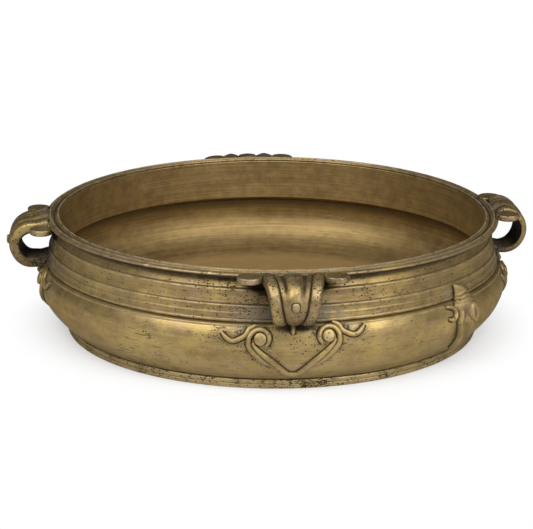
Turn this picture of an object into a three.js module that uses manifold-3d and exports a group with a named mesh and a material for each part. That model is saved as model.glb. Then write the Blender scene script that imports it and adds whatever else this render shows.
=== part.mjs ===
// Brass urli: a wide, low vessel with a swelling belly, a banded collar, a stepped
// rim and a low foot ring. Four loop handles stand round it at quarter turns, each
// with a heart-shaped scroll below, and one leaf boss fills a space between them.
// Millimetres, +Z up. The origin is the centre of the foot's underside.
// The front handle points to -Y and the right handle to +X.

import * as THREE from 'three';
import { mergeVertices } from 'three/addons/utils/BufferGeometryUtils.js';
import Module from 'manifold-3d';

// Vessel: radii, stepping outwards from the mouth
const MOUTH_RADIUS = 210; // inside of the rim and the collar
const RIM_WIDTH = 13.5; // from the mouth to the rim's outer edge
const NECK_WALL = 5.5; // collar wall at its thinnest, in the cove under the rim
const SHOULDER_STEP = 11; // shoulder edge, outwards from the neck
const BELLY_FOOT_INSET = 21; // belly's lower edge, inwards from the shoulder edge
const BELLY_UPPER_PULL = 13; // how hard the belly curve swells below the shoulder
const BELLY_LOWER_PULL = 17; // how full the belly curve stays above the foot
const BELLY_WALL = 5.5;
const FOOT_STEP = 1.5; // foot's outer edge, inwards from the belly's lower edge
const FOOT_WIDTH = 16; // bearing width of the foot ring

// Vessel: heights, stacked from the table upwards
const FOOT_HEIGHT = 9;
const FLOOR_THICKNESS = 5;
const BELLY_HEIGHT = 57.2; // floor's underside to the shoulder edge
const BELLY_UPPER_REACH = 20.5; // heights at which the belly curve's pulls act
const BELLY_LOWER_REACH = 13;
const BELLY_EDGE_RISE = 1.7; // belly's lower edge above the floor's underside
const SHOULDER_LIP = 2.2; // shoulder edge to the collar's seat
const COLLAR_HEIGHT = 38.2;
const LEDGE_RISE = 5; // slope under the ledge that overhangs the belly inside
const RIM_HEIGHT = 8.5;
const SEAT_GAP = 0.3; // brazed joint between any two pieces

// Collar mouldings: bead levels are shares of the collar's height, steps start at the neck
const BEADS = [
  { level: 0.06, step: 8.3 },
  { level: 0.39, step: 5.8 },
  { level: 0.75, step: 2.5 },
];
const BEAD_RISE = 1.8;
const BEAD_UNDERCUT = 1.7;
const COVE_FLARE = 1.7;

// Rim: two worn ridges and a slope down to the outer edge
const RIDGE_WIDTH = 2.2;
const RIDGE_HEIGHT = 1.8;
const INNER_RIDGE = 1.2; // ridge crests, outwards from the mouth
const OUTER_RIDGE = 8.6;
const RIM_EDGE_DROP = 1.7; // outer edge below the rim's top
const RIM_LIP_THICKNESS = 2.2; // lip at its outer edge
const RIM_LIP_FLARE = 3; // width of the thickening under the lip
const RIM_EDGE_ROUND = 0.8;

// Foot ring moulding
const FOOT_LIP_HEIGHT = 4;
const FOOT_GROOVE = 3;

// Handle strap: a loop from the rim to the shoulder
const STRAP_WIDTH_TOP = 59;
const STRAP_WIDTH_END = 29;
const STRAP_THICKNESS = 10.5;
const STRAP_ROOT_THICKNESS = 4.5;
const STRAP_RISE = 0.6; // top of the loop above the rim
const STRAP_END_RISE = 1.5; // underside of the loop above the collar's seat
const LOOP_OFFSET = 8.5; // centre of the loop's bend, outwards from the rim's edge
const RIB_WIDTH = 10.5; // raised rib along each side of the strap
const RIB_HEIGHT = 2.5;
const RIB_ROUND = 2;

// Tongue, stud and ears of a handle
const TONGUE_CROWN = 2.4;
const TONGUE_EDGE = 1;
const TONGUE_FLANK = 0.67; // height halfway to the edge, as a share from edge to crown
const TONGUE_POINT = 2.4; // width of the tongue's lower end
const STUD_WIDTH = 7.6;
const STUD_LENGTH = 9.4;
const STUD_HEIGHT = 1.4;
const EAR_RADIUS = 11.5;
const EAR_THICKNESS = 6;
const EAR_OUTSET = 7.5; // ear's centre, outwards from the rim's edge
const EAR_RISE = 1.6; // ear's top above the rim's outer edge
const DROP_WIDTH = 4.6; // pendant drop under the tongue's point
const DROP_LENGTH = 6.4;
const DROP_FROM = 1.6; // its top, down from the shoulder edge
const DROP_CLEAR = 4.2; // its top, down from the tongue's underside where that hangs low

// The handles were made and set by hand: each reaches out and hangs a little differently,
// the right one is a thinner strap and the back one stands a little off its quarter turn
const HANDLES = [
  { place: 'front', reach: 0, sag: 0, thin: 0, turn: 0 },
  { place: 'right', reach: -1.8, sag: -3, thin: 4.5, turn: 0 },
  { place: 'back', reach: 0, sag: 0, thin: 0, turn: 1.8 },
  { place: 'left', reach: 5.3, sag: 3.5, thin: 0, turn: 0 },
];

// Scrollwork below a handle: across from the handle, down from the shoulder edge
const STRAND_WIDTH = 5;
const STRAND_HEIGHT = 4.2;
const TENDRIL_WIDTH = 3.6;
const TENDRIL_HEIGHT = 3;
const TENDRIL_HUG = [70, 40, 12]; // degrees round the boss at which it passes the curl
const TENDRIL_REACH = 35; // tip, outwards from the boss's centre
const TENDRIL_WAVE = 12; // length of its last wave
const TENDRIL_DIP = 1.5;
const CURL_WIDTH = 4;
const BOSS_RADIUS = 5.2;
const BOSS_HEIGHT = 5;
const BOSS_ACROSS = 30.3;
const BOSS_DOWN = 9.5;
const CURL_RADIUS = 7.9; // curl round the boss
const CURL_FLARE = 2.4; // how far the curl opens where it leaves the boss
const CURL_TURN = 50; // degrees in which the flare falls away
const CURL_FROM = -96; // degrees, from straight outwards, turning over the top
const CURL_TO = 232;
const HEART_TIP_MARGIN = 11.4; // heart's tip above the belly's lower edge
const HEART_TIP_ROUND = 4; // half width of the tip's bend
const HEART_TIP_RISE = 2.6; // rise of the strand over that half width
const HEART_BEND_DROP = 6; // where the heart's ends turn upwards, below the ends
const HEART_END_CLEAR = 8; // the heart's ends, from the boss's centre
const HEART_END_ANGLE = -30; // degrees round the boss, as on the curl

// Leaf boss between the front and the right handle
const LEAF_ANGLE = 46.3;
const LEAF_PEAK = 14.5; // tip above the shoulder edge
const LEAF_FOOT_MARGIN = 11; // lower point above the belly's lower edge
const LEAF_POINT = 1; // half width at its two points
const LEAF_HALF_WIDTH = 10.5;
const LEAF_SHOULDER = 4.8; // its widest place above the shoulder edge
const LEAF_WAIST = 7.2; // half width between the two curls
const LEAF_LOWER_HALF_WIDTH = 11.5;
const LEAF_RIDGE = 7;
const LEAF_EDGE = 2;
const LEAF_CURL_ACROSS = 9.6;
const LEAF_CURL_REACH = 13;
const LEAF_CURL_DROP = 7; // half the curl's height
const LEAF_CURL_ROUND = 3;
const LEAF_CURL_FLICK = 2; // lift of the curl's two ends
const LEAF_CURL_CLEAR = 6.4; // curl's lower arm to where the leaf widens again

// Round-backed section of a strand: where its back breaks, as shares of half width and height
const STRAND_BACK_WIDTH = 0.8;
const STRAND_BACK_HEIGHT = 0.65;
const TAPER_RATE = 4; // a strand gains this share of its width over its whole length
const BLUNT_END = 0.5; // width of a strand's end, as a share of its full width
const FINE_END = 0.3;

// Section of a dome, as shares of its half width and height
const DOME_PROFILE = [[0, 0], [1, 0], [0.8, 0.6], [0.4, 0.92], [0, 1]];

const CORNER_LIMIT = 0.5; // keeps sharp corners of a swollen outline from running far out

// Fineness of the facets
const FACET_DEPTH = 0.331; // how far a ring's flats may lie inside its true circle, at the mouth
const QUARTER_FACETS = Math.ceil(Math.PI / 4 / Math.acos(1 - FACET_DEPTH / MOUTH_RADIUS));
const SEGMENTS = 4 * QUARTER_FACETS; // the same on each quarter, where the handles stand
const BELLY_STEPS = 8;
const BEND_STEPS = 10;
const HEART_STEPS = 24;
const CURL_STEPS = 16;
const LEAF_STEPS = 12;
const TENDRIL_STEPS = 10;
const DROP_STEPS = 4;
const EAR_SIDES = 20;
const STUD_SIDES = 12;
const BOSS_SIDES = 10;

const QUARTER = Math.PI / 2;
const DEGREE = Math.PI / 180;

// Levels and radii worked out from the sizes above
const neckRadius = MOUTH_RADIUS + NECK_WALL;
const rimRadius = MOUTH_RADIUS + RIM_WIDTH;
const shoulderRadius = neckRadius + SHOULDER_STEP;
const bellyFootRadius = shoulderRadius - BELLY_FOOT_INSET;
const footRadius = bellyFootRadius - FOOT_STEP;
const floorZ = FOOT_HEIGHT + SEAT_GAP;
const shoulderZ = floorZ + BELLY_HEIGHT;
const bellySeatZ = shoulderZ + SHOULDER_LIP;
const collarZ = bellySeatZ + SEAT_GAP;
const collarTopZ = collarZ + COLLAR_HEIGHT;
const rimZ = collarTopZ + SEAT_GAP;
const rimTopZ = rimZ + RIM_HEIGHT;

const wasm = await Module();
wasm.setup();

const at = (r, z) => new THREE.Vector2(r, z);

// The belly's outside, from the shoulder edge down to its lower edge
const bellyCurve = new THREE.CubicBezierCurve(
  at(shoulderRadius, shoulderZ),
  at(shoulderRadius + BELLY_UPPER_PULL, shoulderZ - BELLY_UPPER_REACH),
  at(bellyFootRadius + BELLY_LOWER_PULL, floorZ + BELLY_EDGE_RISE + BELLY_LOWER_REACH),
  at(bellyFootRadius, floorZ + BELLY_EDGE_RISE),
);
const bellyLength = bellyCurve.getLength();

// Outlines of the four rings' outsides, each from its bottom upwards
const footOutline = [
  at(footRadius, 0),
  at(footRadius, FOOT_LIP_HEIGHT),
  at(footRadius - FOOT_GROOVE, FOOT_LIP_HEIGHT + FOOT_GROOVE / 2),
  at(footRadius - FOOT_GROOVE, FOOT_HEIGHT),
];

const bellyOutline = [
  at(bellyFootRadius - BELLY_EDGE_RISE, floorZ),
  ...bellyCurve.getSpacedPoints(BELLY_STEPS).reverse(),
  at(shoulderRadius - SHOULDER_LIP, bellySeatZ),
];

function makeCollarOutline() {
  const outline = [at(neckRadius + BEADS[0].step - BEAD_UNDERCUT / 2, collarZ)];
  BEADS.forEach(({ level, step }, i) => {
    const z = collarZ + level * COLLAR_HEIGHT;
    const r = neckRadius + step;
    if (i > 0) outline.push(at(r - BEAD_UNDERCUT, z - BEAD_RISE));
    outline.push(at(r, z), at(r - BEAD_UNDERCUT, z + BEAD_RISE));
  });
  const lastBead = outline[outline.length - 1].y;
  outline.push(at(neckRadius, (lastBead + collarTopZ) / 2));
  outline.push(at(neckRadius + COVE_FLARE, collarTopZ));
  return outline;
}
const collarOutline = makeCollarOutline();

// One worn ridge on the rim: up, over a narrow crest and down
function ridge(crestRadius) {
  const half = RIDGE_WIDTH / 2;
  return [
    at(crestRadius + half, rimTopZ - RIDGE_HEIGHT),
    at(crestRadius + half / 2, rimTopZ),
    at(crestRadius - half / 2, rimTopZ),
  ];
}
const outerRidgeRadius = MOUTH_RADIUS + OUTER_RIDGE;
const innerRidgeRadius = MOUTH_RADIUS + INNER_RIDGE;
const rimEdgeZ = rimTopZ - RIM_EDGE_DROP;
const rimLipZ = rimEdgeZ - RIM_LIP_THICKNESS;
const rimOutline = [
  at(neckRadius + COVE_FLARE, rimZ),
  at(rimRadius - RIM_LIP_FLARE, rimLipZ - RIM_EDGE_ROUND),
  at(rimRadius - RIM_EDGE_ROUND, rimLipZ),
  at(rimRadius, rimLipZ + RIM_EDGE_ROUND),
  at(rimRadius, rimEdgeZ - RIM_EDGE_ROUND),
  at(rimRadius - RIM_EDGE_ROUND, rimEdgeZ),
  ...ridge(outerRidgeRadius),
  at(outerRidgeRadius - RIDGE_WIDTH / 2, rimTopZ - RIDGE_HEIGHT),
  ...ridge(innerRidgeRadius),
];

// A turned solid about the vertical axis; its outline runs up the outside
function turned(outline) {
  const geometry = new THREE.LatheGeometry(outline, SEGMENTS);
  geometry.rotateX(QUARTER);
  return weld(geometry);
}

const ring = (outline) => turned([...outline, outline[0]]);

// Only positions are kept, with shared corners merged
function weld(geometry) {
  geometry.deleteAttribute('normal');
  geometry.deleteAttribute('uv');
  return mergeVertices(geometry);
}

function footRing() {
  const inner = footRadius - FOOT_WIDTH;
  return ring([at(inner, 0), ...footOutline, at(inner, FOOT_HEIGHT)]);
}

// Belly and floor in one casting: the inside runs parallel to the belly's outside
function bowl() {
  const floorTop = floorZ + FLOOR_THICKNESS;
  const inside = [];
  for (let i = 0; i <= BELLY_STEPS; i += 1) {
    const point = bellyCurve.getPointAt(i / BELLY_STEPS);
    const along = bellyCurve.getTangentAt(i / BELLY_STEPS);
    const wall = at(point.x + along.y * BELLY_WALL, point.y - along.x * BELLY_WALL);
    if (wall.y > floorTop + BELLY_WALL / 2) inside.push(wall);
  }
  const top = inside[0].clone().setY(bellySeatZ);
  const corner = inside[inside.length - 1].clone().setY(floorTop);
  corner.x -= BELLY_WALL;
  return turned([at(0, floorZ), ...bellyOutline, top, ...inside, corner, at(0, floorTop)]);
}

// Banded neck, with a ledge inside that overhangs the belly
function collar() {
  const seat = shoulderRadius - SHOULDER_LIP - BELLY_WALL;
  return ring([
    at(seat, collarZ),
    ...collarOutline,
    at(MOUTH_RADIUS, collarTopZ),
    at(MOUTH_RADIUS, collarZ + LEDGE_RISE),
  ]);
}

function rimRing() {
  return ring([at(MOUTH_RADIUS, rimZ), ...rimOutline, at(MOUTH_RADIUS, rimTopZ - RIDGE_HEIGHT)]);
}

// Moves an open outline sideways, away from the axis, along its corners' bisectors
function grown(outline, gap) {
  return outline.map((point, i) => {
    const before = outline[Math.max(i - 1, 0)];
    const after = outline[Math.min(i + 1, outline.length - 1)];
    const into = point.clone().sub(before).normalize();
    const out = after.clone().sub(point).normalize();
    const along = into.add(out).normalize();
    const normal = at(along.y, -along.x);
    const lean = i > 0 ? point.clone().sub(before).normalize() : out;
    const spread = Math.max(normal.dot(at(lean.y, -lean.x)), CORNER_LIMIT);
    return point.clone().addScaledVector(normal, gap / spread);
  });
}

// The whole vessel as one plain solid, swollen by the joint gap, for seating pieces on it
function seatBlank() {
  const outside = [...footOutline, ...bellyOutline, ...collarOutline, ...rimOutline];
  const skin = grown(outside, SEAT_GAP);
  return turned([at(0, -SEAT_GAP), ...skin, at(0, rimTopZ)]);
}

function toSolid(geometry) {
  const vertProperties = new Float32Array(geometry.attributes.position.array);
  const triVerts = new Uint32Array(geometry.index.array);
  const mesh = new wasm.Mesh({ numProp: 3, vertProperties, triVerts });
  mesh.merge();
  return new wasm.Manifold(mesh);
}

function toGeometry(solid) {
  const mesh = solid.getMesh();
  const geometry = new THREE.BufferGeometry();
  geometry.setAttribute('position', new THREE.BufferAttribute(mesh.vertProperties, 3));
  geometry.setIndex(new THREE.BufferAttribute(mesh.triVerts, 1));
  return geometry;
}

const vesselBlank = toSolid(seatBlank());

// Trims a piece to the vessel, so that it seats on it with the joint gap
const seated = (geometry) => toGeometry(toSolid(geometry).subtract(vesselBlank));

// Closed solid through a row of sections that all have the same number of corners.
// A section runs anticlockwise for an eye that looks back along the row.
function loft(sections, flatSection) {
  const count = flatSection.length;
  const last = (sections.length - 1) * count;
  const index = [];
  for (let start = 0; start < last; start += count) {
    for (let j = 0; j < count; j += 1) {
      const a = start + j;
      const b = start + ((j + 1) % count);
      index.push(a, b, b + count, a, b + count, a + count);
    }
  }
  for (const [a, b, c] of THREE.ShapeUtils.triangulateShape(flatSection, [])) {
    index.push(c, b, a, last + a, last + b, last + c);
  }
  const geometry = new THREE.BufferGeometry().setFromPoints(sections.flat());
  geometry.setIndex(index);
  return geometry;
}

// The loop that a strap follows in the plane of its handle: straight out from the
// rim, round a half circle and straight back to the shoulder
const loopTop = rimTopZ + STRAP_RISE - STRAP_THICKNESS / 2;
const loopEnd = collarZ + STRAP_END_RISE + STRAP_THICKNESS / 2;
const loopRadius = (loopTop - loopEnd) / 2;
const rootRadius = outerRidgeRadius + RIDGE_WIDTH;
const bendLength = Math.PI * loopRadius;

function makeLoop({ reach, sag, thin }) {
  const centre = at(rimRadius + LOOP_OFFSET + reach, (loopTop + loopEnd) / 2 - sag);
  const rootLength = centre.x - rootRadius;
  const length = rootLength + bendLength + centre.x - neckRadius;
  const stations = [0, rootLength / 2];
  for (let i = 0; i <= BEND_STEPS; i += 1) {
    stations.push(rootLength + (bendLength * i) / BEND_STEPS);
  }
  stations.push(length);
  return { centre, rootLength, length, stations, sag, thin };
}

// Place and outward direction on the loop's middle line, at a distance from its root.
// The root lies on the rim whatever the handle's sag.
function loopAt(loop, distance) {
  const past = distance - loop.rootLength;
  const turn = QUARTER - Math.PI * THREE.MathUtils.clamp(past / bendLength, 0, 1);
  const normal = at(Math.cos(turn), Math.sin(turn));
  const place = loop.centre.clone().addScaledVector(normal, loopRadius);
  place.x += Math.min(past, 0) - Math.max(past - bendLength, 0);
  place.y -= (loop.sag * Math.min(past, 0)) / loop.rootLength;
  return { place, normal };
}

const strapWidth = (loop, distance) =>
  THREE.MathUtils.lerp(STRAP_WIDTH_TOP, STRAP_WIDTH_END, distance / loop.length);

// Carries a section (across, outwards) along the loop and seats the ends on the vessel
function onLoop(loop, sectionAt) {
  const sections = loop.stations.map((distance) => {
    const { place, normal } = loopAt(loop, distance);
    return sectionAt(loop, distance).map(({ x, y }) => {
      const r = place.x + normal.x * y;
      return new THREE.Vector3(x, -r, place.y + normal.y * y);
    });
  });
  return seated(loft(sections, sectionAt(loop, 0)));
}

// Strap section: a flat inside, and a raised rib along each side of the outside
function strapSection(loop, distance) {
  const half = strapWidth(loop, distance) / 2;
  const outer = STRAP_THICKNESS / 2;
  const rootShare = THREE.MathUtils.clamp(1 - distance / loop.rootLength, 0, 1);
  const rootThin = rootShare * (STRAP_THICKNESS - STRAP_ROOT_THICKNESS);
  const inner = -outer + Math.max(rootThin, loop.thin);
  const rib = [
    at(half, inner),
    at(half, outer - RIB_ROUND),
    at(half - RIB_ROUND, outer),
    at(half - RIB_WIDTH + RIB_ROUND, outer),
    at(half - RIB_WIDTH, outer - RIB_HEIGHT),
  ];
  const mirrored = rib.map(({ x, y }) => at(-x, y)).reverse();
  return [...rib, ...mirrored];
}

// Tongue section: a crowned leaf that lies between the ribs and narrows to a point
const tongueBed = STRAP_THICKNESS / 2 - RIB_HEIGHT + SEAT_GAP;

function tongueSection(loop, distance) {
  const channel = strapWidth(loop, distance) / 2 - RIB_WIDTH - SEAT_GAP;
  const pointShare = THREE.MathUtils.smoothstep(distance, loop.length / 2, loop.length);
  const half = THREE.MathUtils.lerp(channel, TONGUE_POINT / 2, pointShare);
  const flank = tongueBed + THREE.MathUtils.lerp(TONGUE_EDGE, TONGUE_CROWN, TONGUE_FLANK);
  return [
    at(half, tongueBed),
    at(half, tongueBed + TONGUE_EDGE),
    at(half / 2, flank),
    at(0, tongueBed + TONGUE_CROWN),
    at(-half / 2, flank),
    at(-half, tongueBed + TONGUE_EDGE),
    at(-half, tongueBed),
  ];
}

// A shallow dome with a flat base at height zero
function dome(width, length, height, sides) {
  const profile = DOME_PROFILE.map(([r, z]) => at(r, z));
  const geometry = new THREE.LatheGeometry(profile, sides);
  geometry.rotateX(QUARTER);
  geometry.scale(width / 2, length / 2, height);
  return weld(geometry);
}

// Stud on the front of the tongue, where the loop stands furthest out
function stud(loop) {
  const face = loop.centre.x + loopRadius + tongueBed + TONGUE_CROWN + SEAT_GAP;
  const geometry = dome(STUD_WIDTH, STUD_LENGTH, STUD_HEIGHT, STUD_SIDES);
  geometry.rotateX(QUARTER);
  geometry.translate(0, -face, loop.centre.y);
  return geometry;
}

// Flat round ear against the rim's edge, beside the strap's root
function ear(side) {
  const across = STRAP_WIDTH_TOP / 2 + EAR_RADIUS + SEAT_GAP;
  const outwards = Math.sqrt((rimRadius + EAR_OUTSET) ** 2 - across ** 2);
  const geometry = new THREE.CylinderGeometry(EAR_RADIUS, EAR_RADIUS, EAR_THICKNESS, EAR_SIDES);
  geometry.rotateX(QUARTER);
  geometry.translate(side * across, -outwards, rimEdgeZ + EAR_RISE - EAR_THICKNESS / 2);
  return seated(weld(geometry));
}

// A place on the belly: across along the shoulder's round, down from the shoulder
// edge along the belly, and raised along the belly's own outward direction
function onBelly(across, down, raised) {
  const share = THREE.MathUtils.clamp(down / bellyLength, 0, 1);
  const along = bellyCurve.getTangentAt(share);
  const place = bellyCurve.getPointAt(share).addScaledVector(along, down - share * bellyLength);
  const r = place.x - along.y * raised;
  const z = place.y + along.x * raised;
  const angle = across / shoulderRadius;
  return new THREE.Vector3(r * Math.sin(angle), -r * Math.cos(angle), z);
}

// A raised strand of round-backed section along a flat path on the belly.
// Its width at each end is a share of the full width.
function strand(path, width, height, steps, startShare, endShare) {
  const half = width / 2;
  const profile = [
    at(-half, 0),
    at(half, 0),
    at(half * STRAND_BACK_WIDTH, height * STRAND_BACK_HEIGHT),
    at(0, height),
    at(-half * STRAND_BACK_WIDTH, height * STRAND_BACK_HEIGHT),
  ];
  const sections = [];
  for (let i = 0; i <= steps; i += 1) {
    const u = i / steps;
    const place = path.getPointAt(u);
    const along = path.getTangentAt(u);
    const taper = Math.min(1, startShare + TAPER_RATE * u, endShare + TAPER_RATE * (1 - u));
    sections.push(profile.map(({ x, y }) => {
      const across = place.x + along.y * x * taper;
      const down = place.y - along.x * x * taper;
      return onBelly(across, down, SEAT_GAP + y * taper);
    }));
  }
  return loft(sections, profile);
}

// Pendant drop on the shoulder, under the tongue's point
function drop(loop) {
  const tongueLow = loop.centre.y - loopRadius - tongueBed - TONGUE_CROWN;
  const top = Math.max(DROP_FROM, shoulderZ - tongueLow + DROP_CLEAR);
  const path = new THREE.LineCurve(at(0, top), at(0, top + DROP_LENGTH));
  return strand(path, DROP_WIDTH, STRAND_HEIGHT, DROP_STEPS, BLUNT_END, FINE_END / 2);
}

// Heart: one strand from beside one boss down to the rounded tip and up to the other
function heart() {
  const tip = at(0, bellyLength - HEART_TIP_MARGIN);
  const end = at(
    BOSS_ACROSS + HEART_END_CLEAR * Math.cos(HEART_END_ANGLE * DEGREE),
    BOSS_DOWN - HEART_END_CLEAR * Math.sin(HEART_END_ANGLE * DEGREE),
  );
  const bend = at(end.x - HEART_TIP_ROUND, end.y + HEART_BEND_DROP);
  const low = at(HEART_TIP_ROUND, tip.y - HEART_TIP_RISE);
  const half = [low, low.clone().add(bend).divideScalar(2), bend, end];
  const other = half.map(({ x, y }) => at(-x, y)).reverse();
  const path = new THREE.SplineCurve([...other, tip, ...half]);
  return strand(path, STRAND_WIDTH, STRAND_HEIGHT, HEART_STEPS, FINE_END, FINE_END);
}

// A place on the curl that comes up outside the heart's end and turns over and round
// the boss. The angle runs from straight outwards over the top, clear moves it outwards.
function curlPoint(side, degrees, clear) {
  const radius = CURL_RADIUS + CURL_FLARE * Math.exp(-degrees / CURL_TURN) + clear;
  const across = BOSS_ACROSS + radius * Math.cos(degrees * DEGREE);
  return at(side * across, BOSS_DOWN - radius * Math.sin(degrees * DEGREE));
}

class CurlPath extends THREE.Curve {
  constructor(side) {
    super();
    this.side = side;
  }

  getPoint(t, target = new THREE.Vector2()) {
    return target.copy(curlPoint(this.side, THREE.MathUtils.lerp(CURL_FROM, CURL_TO, t), 0));
  }
}

const curl = (side) =>
  strand(new CurlPath(side), CURL_WIDTH, STRAND_HEIGHT, CURL_STEPS, FINE_END, BLUNT_END);

// Tendril that springs from above the curl, hugs it and then waves outwards
function tendril(side) {
  const clear = (CURL_WIDTH + TENDRIL_WIDTH) / 2 + 2 * SEAT_GAP;
  const tip = BOSS_ACROSS + TENDRIL_REACH;
  const path = new THREE.SplineCurve([
    ...TENDRIL_HUG.map((degrees) => curlPoint(side, degrees, clear)),
    at(side * (tip - TENDRIL_WAVE), BOSS_DOWN + TENDRIL_DIP),
    at(side * (tip - TENDRIL_WAVE / 2), BOSS_DOWN),
    at(side * tip, BOSS_DOWN - TENDRIL_WAVE / 2),
  ]);
  return strand(path, TENDRIL_WIDTH, TENDRIL_HEIGHT, TENDRIL_STEPS, BLUNT_END, BLUNT_END);
}

// Round boss inside a curl, square to the belly
function boss(side) {
  const base = onBelly(side * BOSS_ACROSS, BOSS_DOWN, SEAT_GAP);
  const top = onBelly(side * BOSS_ACROSS, BOSS_DOWN, SEAT_GAP + BOSS_HEIGHT);
  const outward = top.sub(base).normalize();
  const geometry = dome(2 * BOSS_RADIUS, 2 * BOSS_RADIUS, BOSS_HEIGHT, BOSS_SIDES);
  const turn = new THREE.Quaternion().setFromUnitVectors(new THREE.Vector3(0, 0, 1), outward);
  geometry.applyQuaternion(turn);
  geometry.translate(base.x, base.y, base.z);
  return geometry;
}

// Leaf section (across, raised): a ridge between two low edges, on a deep bed
function leafSection(half, fade) {
  const bed = -2 * LEAF_RIDGE;
  const edge = LEAF_EDGE * fade;
  const ridgeTop = LEAF_RIDGE * fade;
  const flank = (edge + ridgeTop) / 2;
  return [
    at(half, bed),
    at(half, edge),
    at(half / 2, flank),
    at(0, ridgeTop),
    at(-half / 2, flank),
    at(-half, edge),
    at(-half, bed),
  ];
}

// Leaf boss: pointed above, waisted between its curls, ridged down the middle.
// It is laid out as a thick blank and then seated on the collar and the belly.
function leaf() {
  const tip = bellyLength - LEAF_FOOT_MARGIN;
  const belowCurls = BOSS_DOWN + LEAF_CURL_DROP + LEAF_CURL_CLEAR;
  const outline = new THREE.SplineCurve([
    at(-LEAF_PEAK, LEAF_POINT),
    at(-LEAF_SHOULDER, LEAF_HALF_WIDTH),
    at(0, (LEAF_HALF_WIDTH + LEAF_WAIST) / 2),
    at(BOSS_DOWN, LEAF_WAIST),
    at(BOSS_DOWN + LEAF_CURL_DROP, LEAF_WAIST),
    at(belowCurls, LEAF_LOWER_HALF_WIDTH),
    at((belowCurls + tip) / 2, (LEAF_LOWER_HALF_WIDTH + LEAF_WAIST) / 2),
    at(tip, LEAF_POINT),
  ]);
  const sections = [];
  for (let i = 0; i <= LEAF_STEPS; i += 1) {
    const { x: down, y: half } = outline.getPointAt(i / LEAF_STEPS);
    const fromEnd = Math.min(i, LEAF_STEPS - i) / LEAF_STEPS;
    const fade = Math.min(1, BLUNT_END + TAPER_RATE * fromEnd);
    sections.push(leafSection(half, fade).map(({ x, y }) => onBelly(x, down, y)));
  }
  return seated(loft(sections, leafSection(LEAF_HALF_WIDTH, 1)));
}

// C-shaped curl beside the leaf's waist, open away from the leaf
function leafCurl(side) {
  const bend = LEAF_CURL_ACROSS + LEAF_CURL_ROUND;
  const end = LEAF_CURL_ACROSS + LEAF_CURL_REACH;
  const upper = BOSS_DOWN - LEAF_CURL_DROP;
  const lower = BOSS_DOWN + LEAF_CURL_DROP;
  const path = new THREE.SplineCurve([
    at(side * end, upper - LEAF_CURL_FLICK),
    at(side * bend, upper),
    at(side * LEAF_CURL_ACROSS, BOSS_DOWN),
    at(side * bend, lower),
    at(side * end, lower - LEAF_CURL_FLICK),
  ]);
  return strand(path, CURL_WIDTH, STRAND_HEIGHT, LEAF_STEPS, BLUNT_END, BLUNT_END);
}

// Finishes: polished brass, the duller turned bands, and worn ornament
const finish = (color, roughness) => ({ color, roughness, metalness: 1 });
const BELLY_BRASS = finish(0x9a7d45, 0.42);
const BAND_BRASS = finish(0x84693c, 0.5);
const RIM_BRASS = finish(0x8d7650, 0.45);
const HANDLE_BRASS = finish(0x927341, 0.45);
const SCROLL_BRASS = finish(0xa38549, 0.4);

function piece(name, geometry, look) {
  const material = new THREE.MeshStandardMaterial(look);
  material.name = name;
  const mesh = new THREE.Mesh(geometry, material);
  mesh.name = name;
  return mesh;
}

const urli = new THREE.Group();
urli.name = 'urli';
urli.add(piece('foot_ring', footRing(), BAND_BRASS));
urli.add(piece('bowl', bowl(), BELLY_BRASS));
urli.add(piece('collar', collar(), BAND_BRASS));
urli.add(piece('rim_ring', rimRing(), RIM_BRASS));

// Handles at quarter turns, each with the same scrollwork below it
const scrollPieces = [
  ['handle_ear_left', ear(-1), RIM_BRASS],
  ['handle_ear_right', ear(1), RIM_BRASS],
  ['heart_scroll', heart(), SCROLL_BRASS],
  ['scroll_curl_left', curl(-1), SCROLL_BRASS],
  ['scroll_curl_right', curl(1), SCROLL_BRASS],
  ['scroll_boss_left', boss(-1), SCROLL_BRASS],
  ['scroll_boss_right', boss(1), SCROLL_BRASS],
  ['tendril_left', tendril(-1), SCROLL_BRASS],
  ['tendril_right', tendril(1), SCROLL_BRASS],
];
HANDLES.forEach((setting, i) => {
  const { place } = setting;
  const loop = makeLoop(setting);
  const handle = new THREE.Group();
  handle.rotation.z = i * QUARTER + setting.turn * DEGREE;
  handle.add(piece(`${place}_handle_strap`, onLoop(loop, strapSection), HANDLE_BRASS));
  handle.add(piece(`${place}_handle_tongue`, onLoop(loop, tongueSection), HANDLE_BRASS));
  handle.add(piece(`${place}_handle_stud`, stud(loop), HANDLE_BRASS));
  handle.add(piece(`${place}_handle_drop`, drop(loop), SCROLL_BRASS));
  for (const [name, geometry, look] of scrollPieces) {
    handle.add(piece(`${place}_${name}`, geometry, look));
  }
  urli.add(handle);
});

const leafBoss = new THREE.Group();
leafBoss.rotation.z = LEAF_ANGLE * DEGREE;
leafBoss.add(piece('leaf_boss', leaf(), SCROLL_BRASS));
leafBoss.add(piece('leaf_curl_left', leafCurl(-1), SCROLL_BRASS));
leafBoss.add(piece('leaf_curl_right', leafCurl(1), SCROLL_BRASS));
urli.add(leafBoss);

export default urli;
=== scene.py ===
# %% [markdown]
# # A brass urli
# An urli is a wide, low vessel of cast brass that holds water and flowers. This one is a belly on
# a low foot, a banded collar, a stepped rim and four strap handles, with scrollwork laid on the
# belly under each handle. The CAD model gives the sizes and places. Here every piece is made again
# as a finer skin with its own worn brass, so that the bands, ribs and joints show as they do on
# the real vessel. Lengths are in millimetres, as on a bench drawing, until a mesh is made.

# %% Load the CAD model
import math

import bpy
import numpy as np
from mathutils import Matrix, Vector


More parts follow.
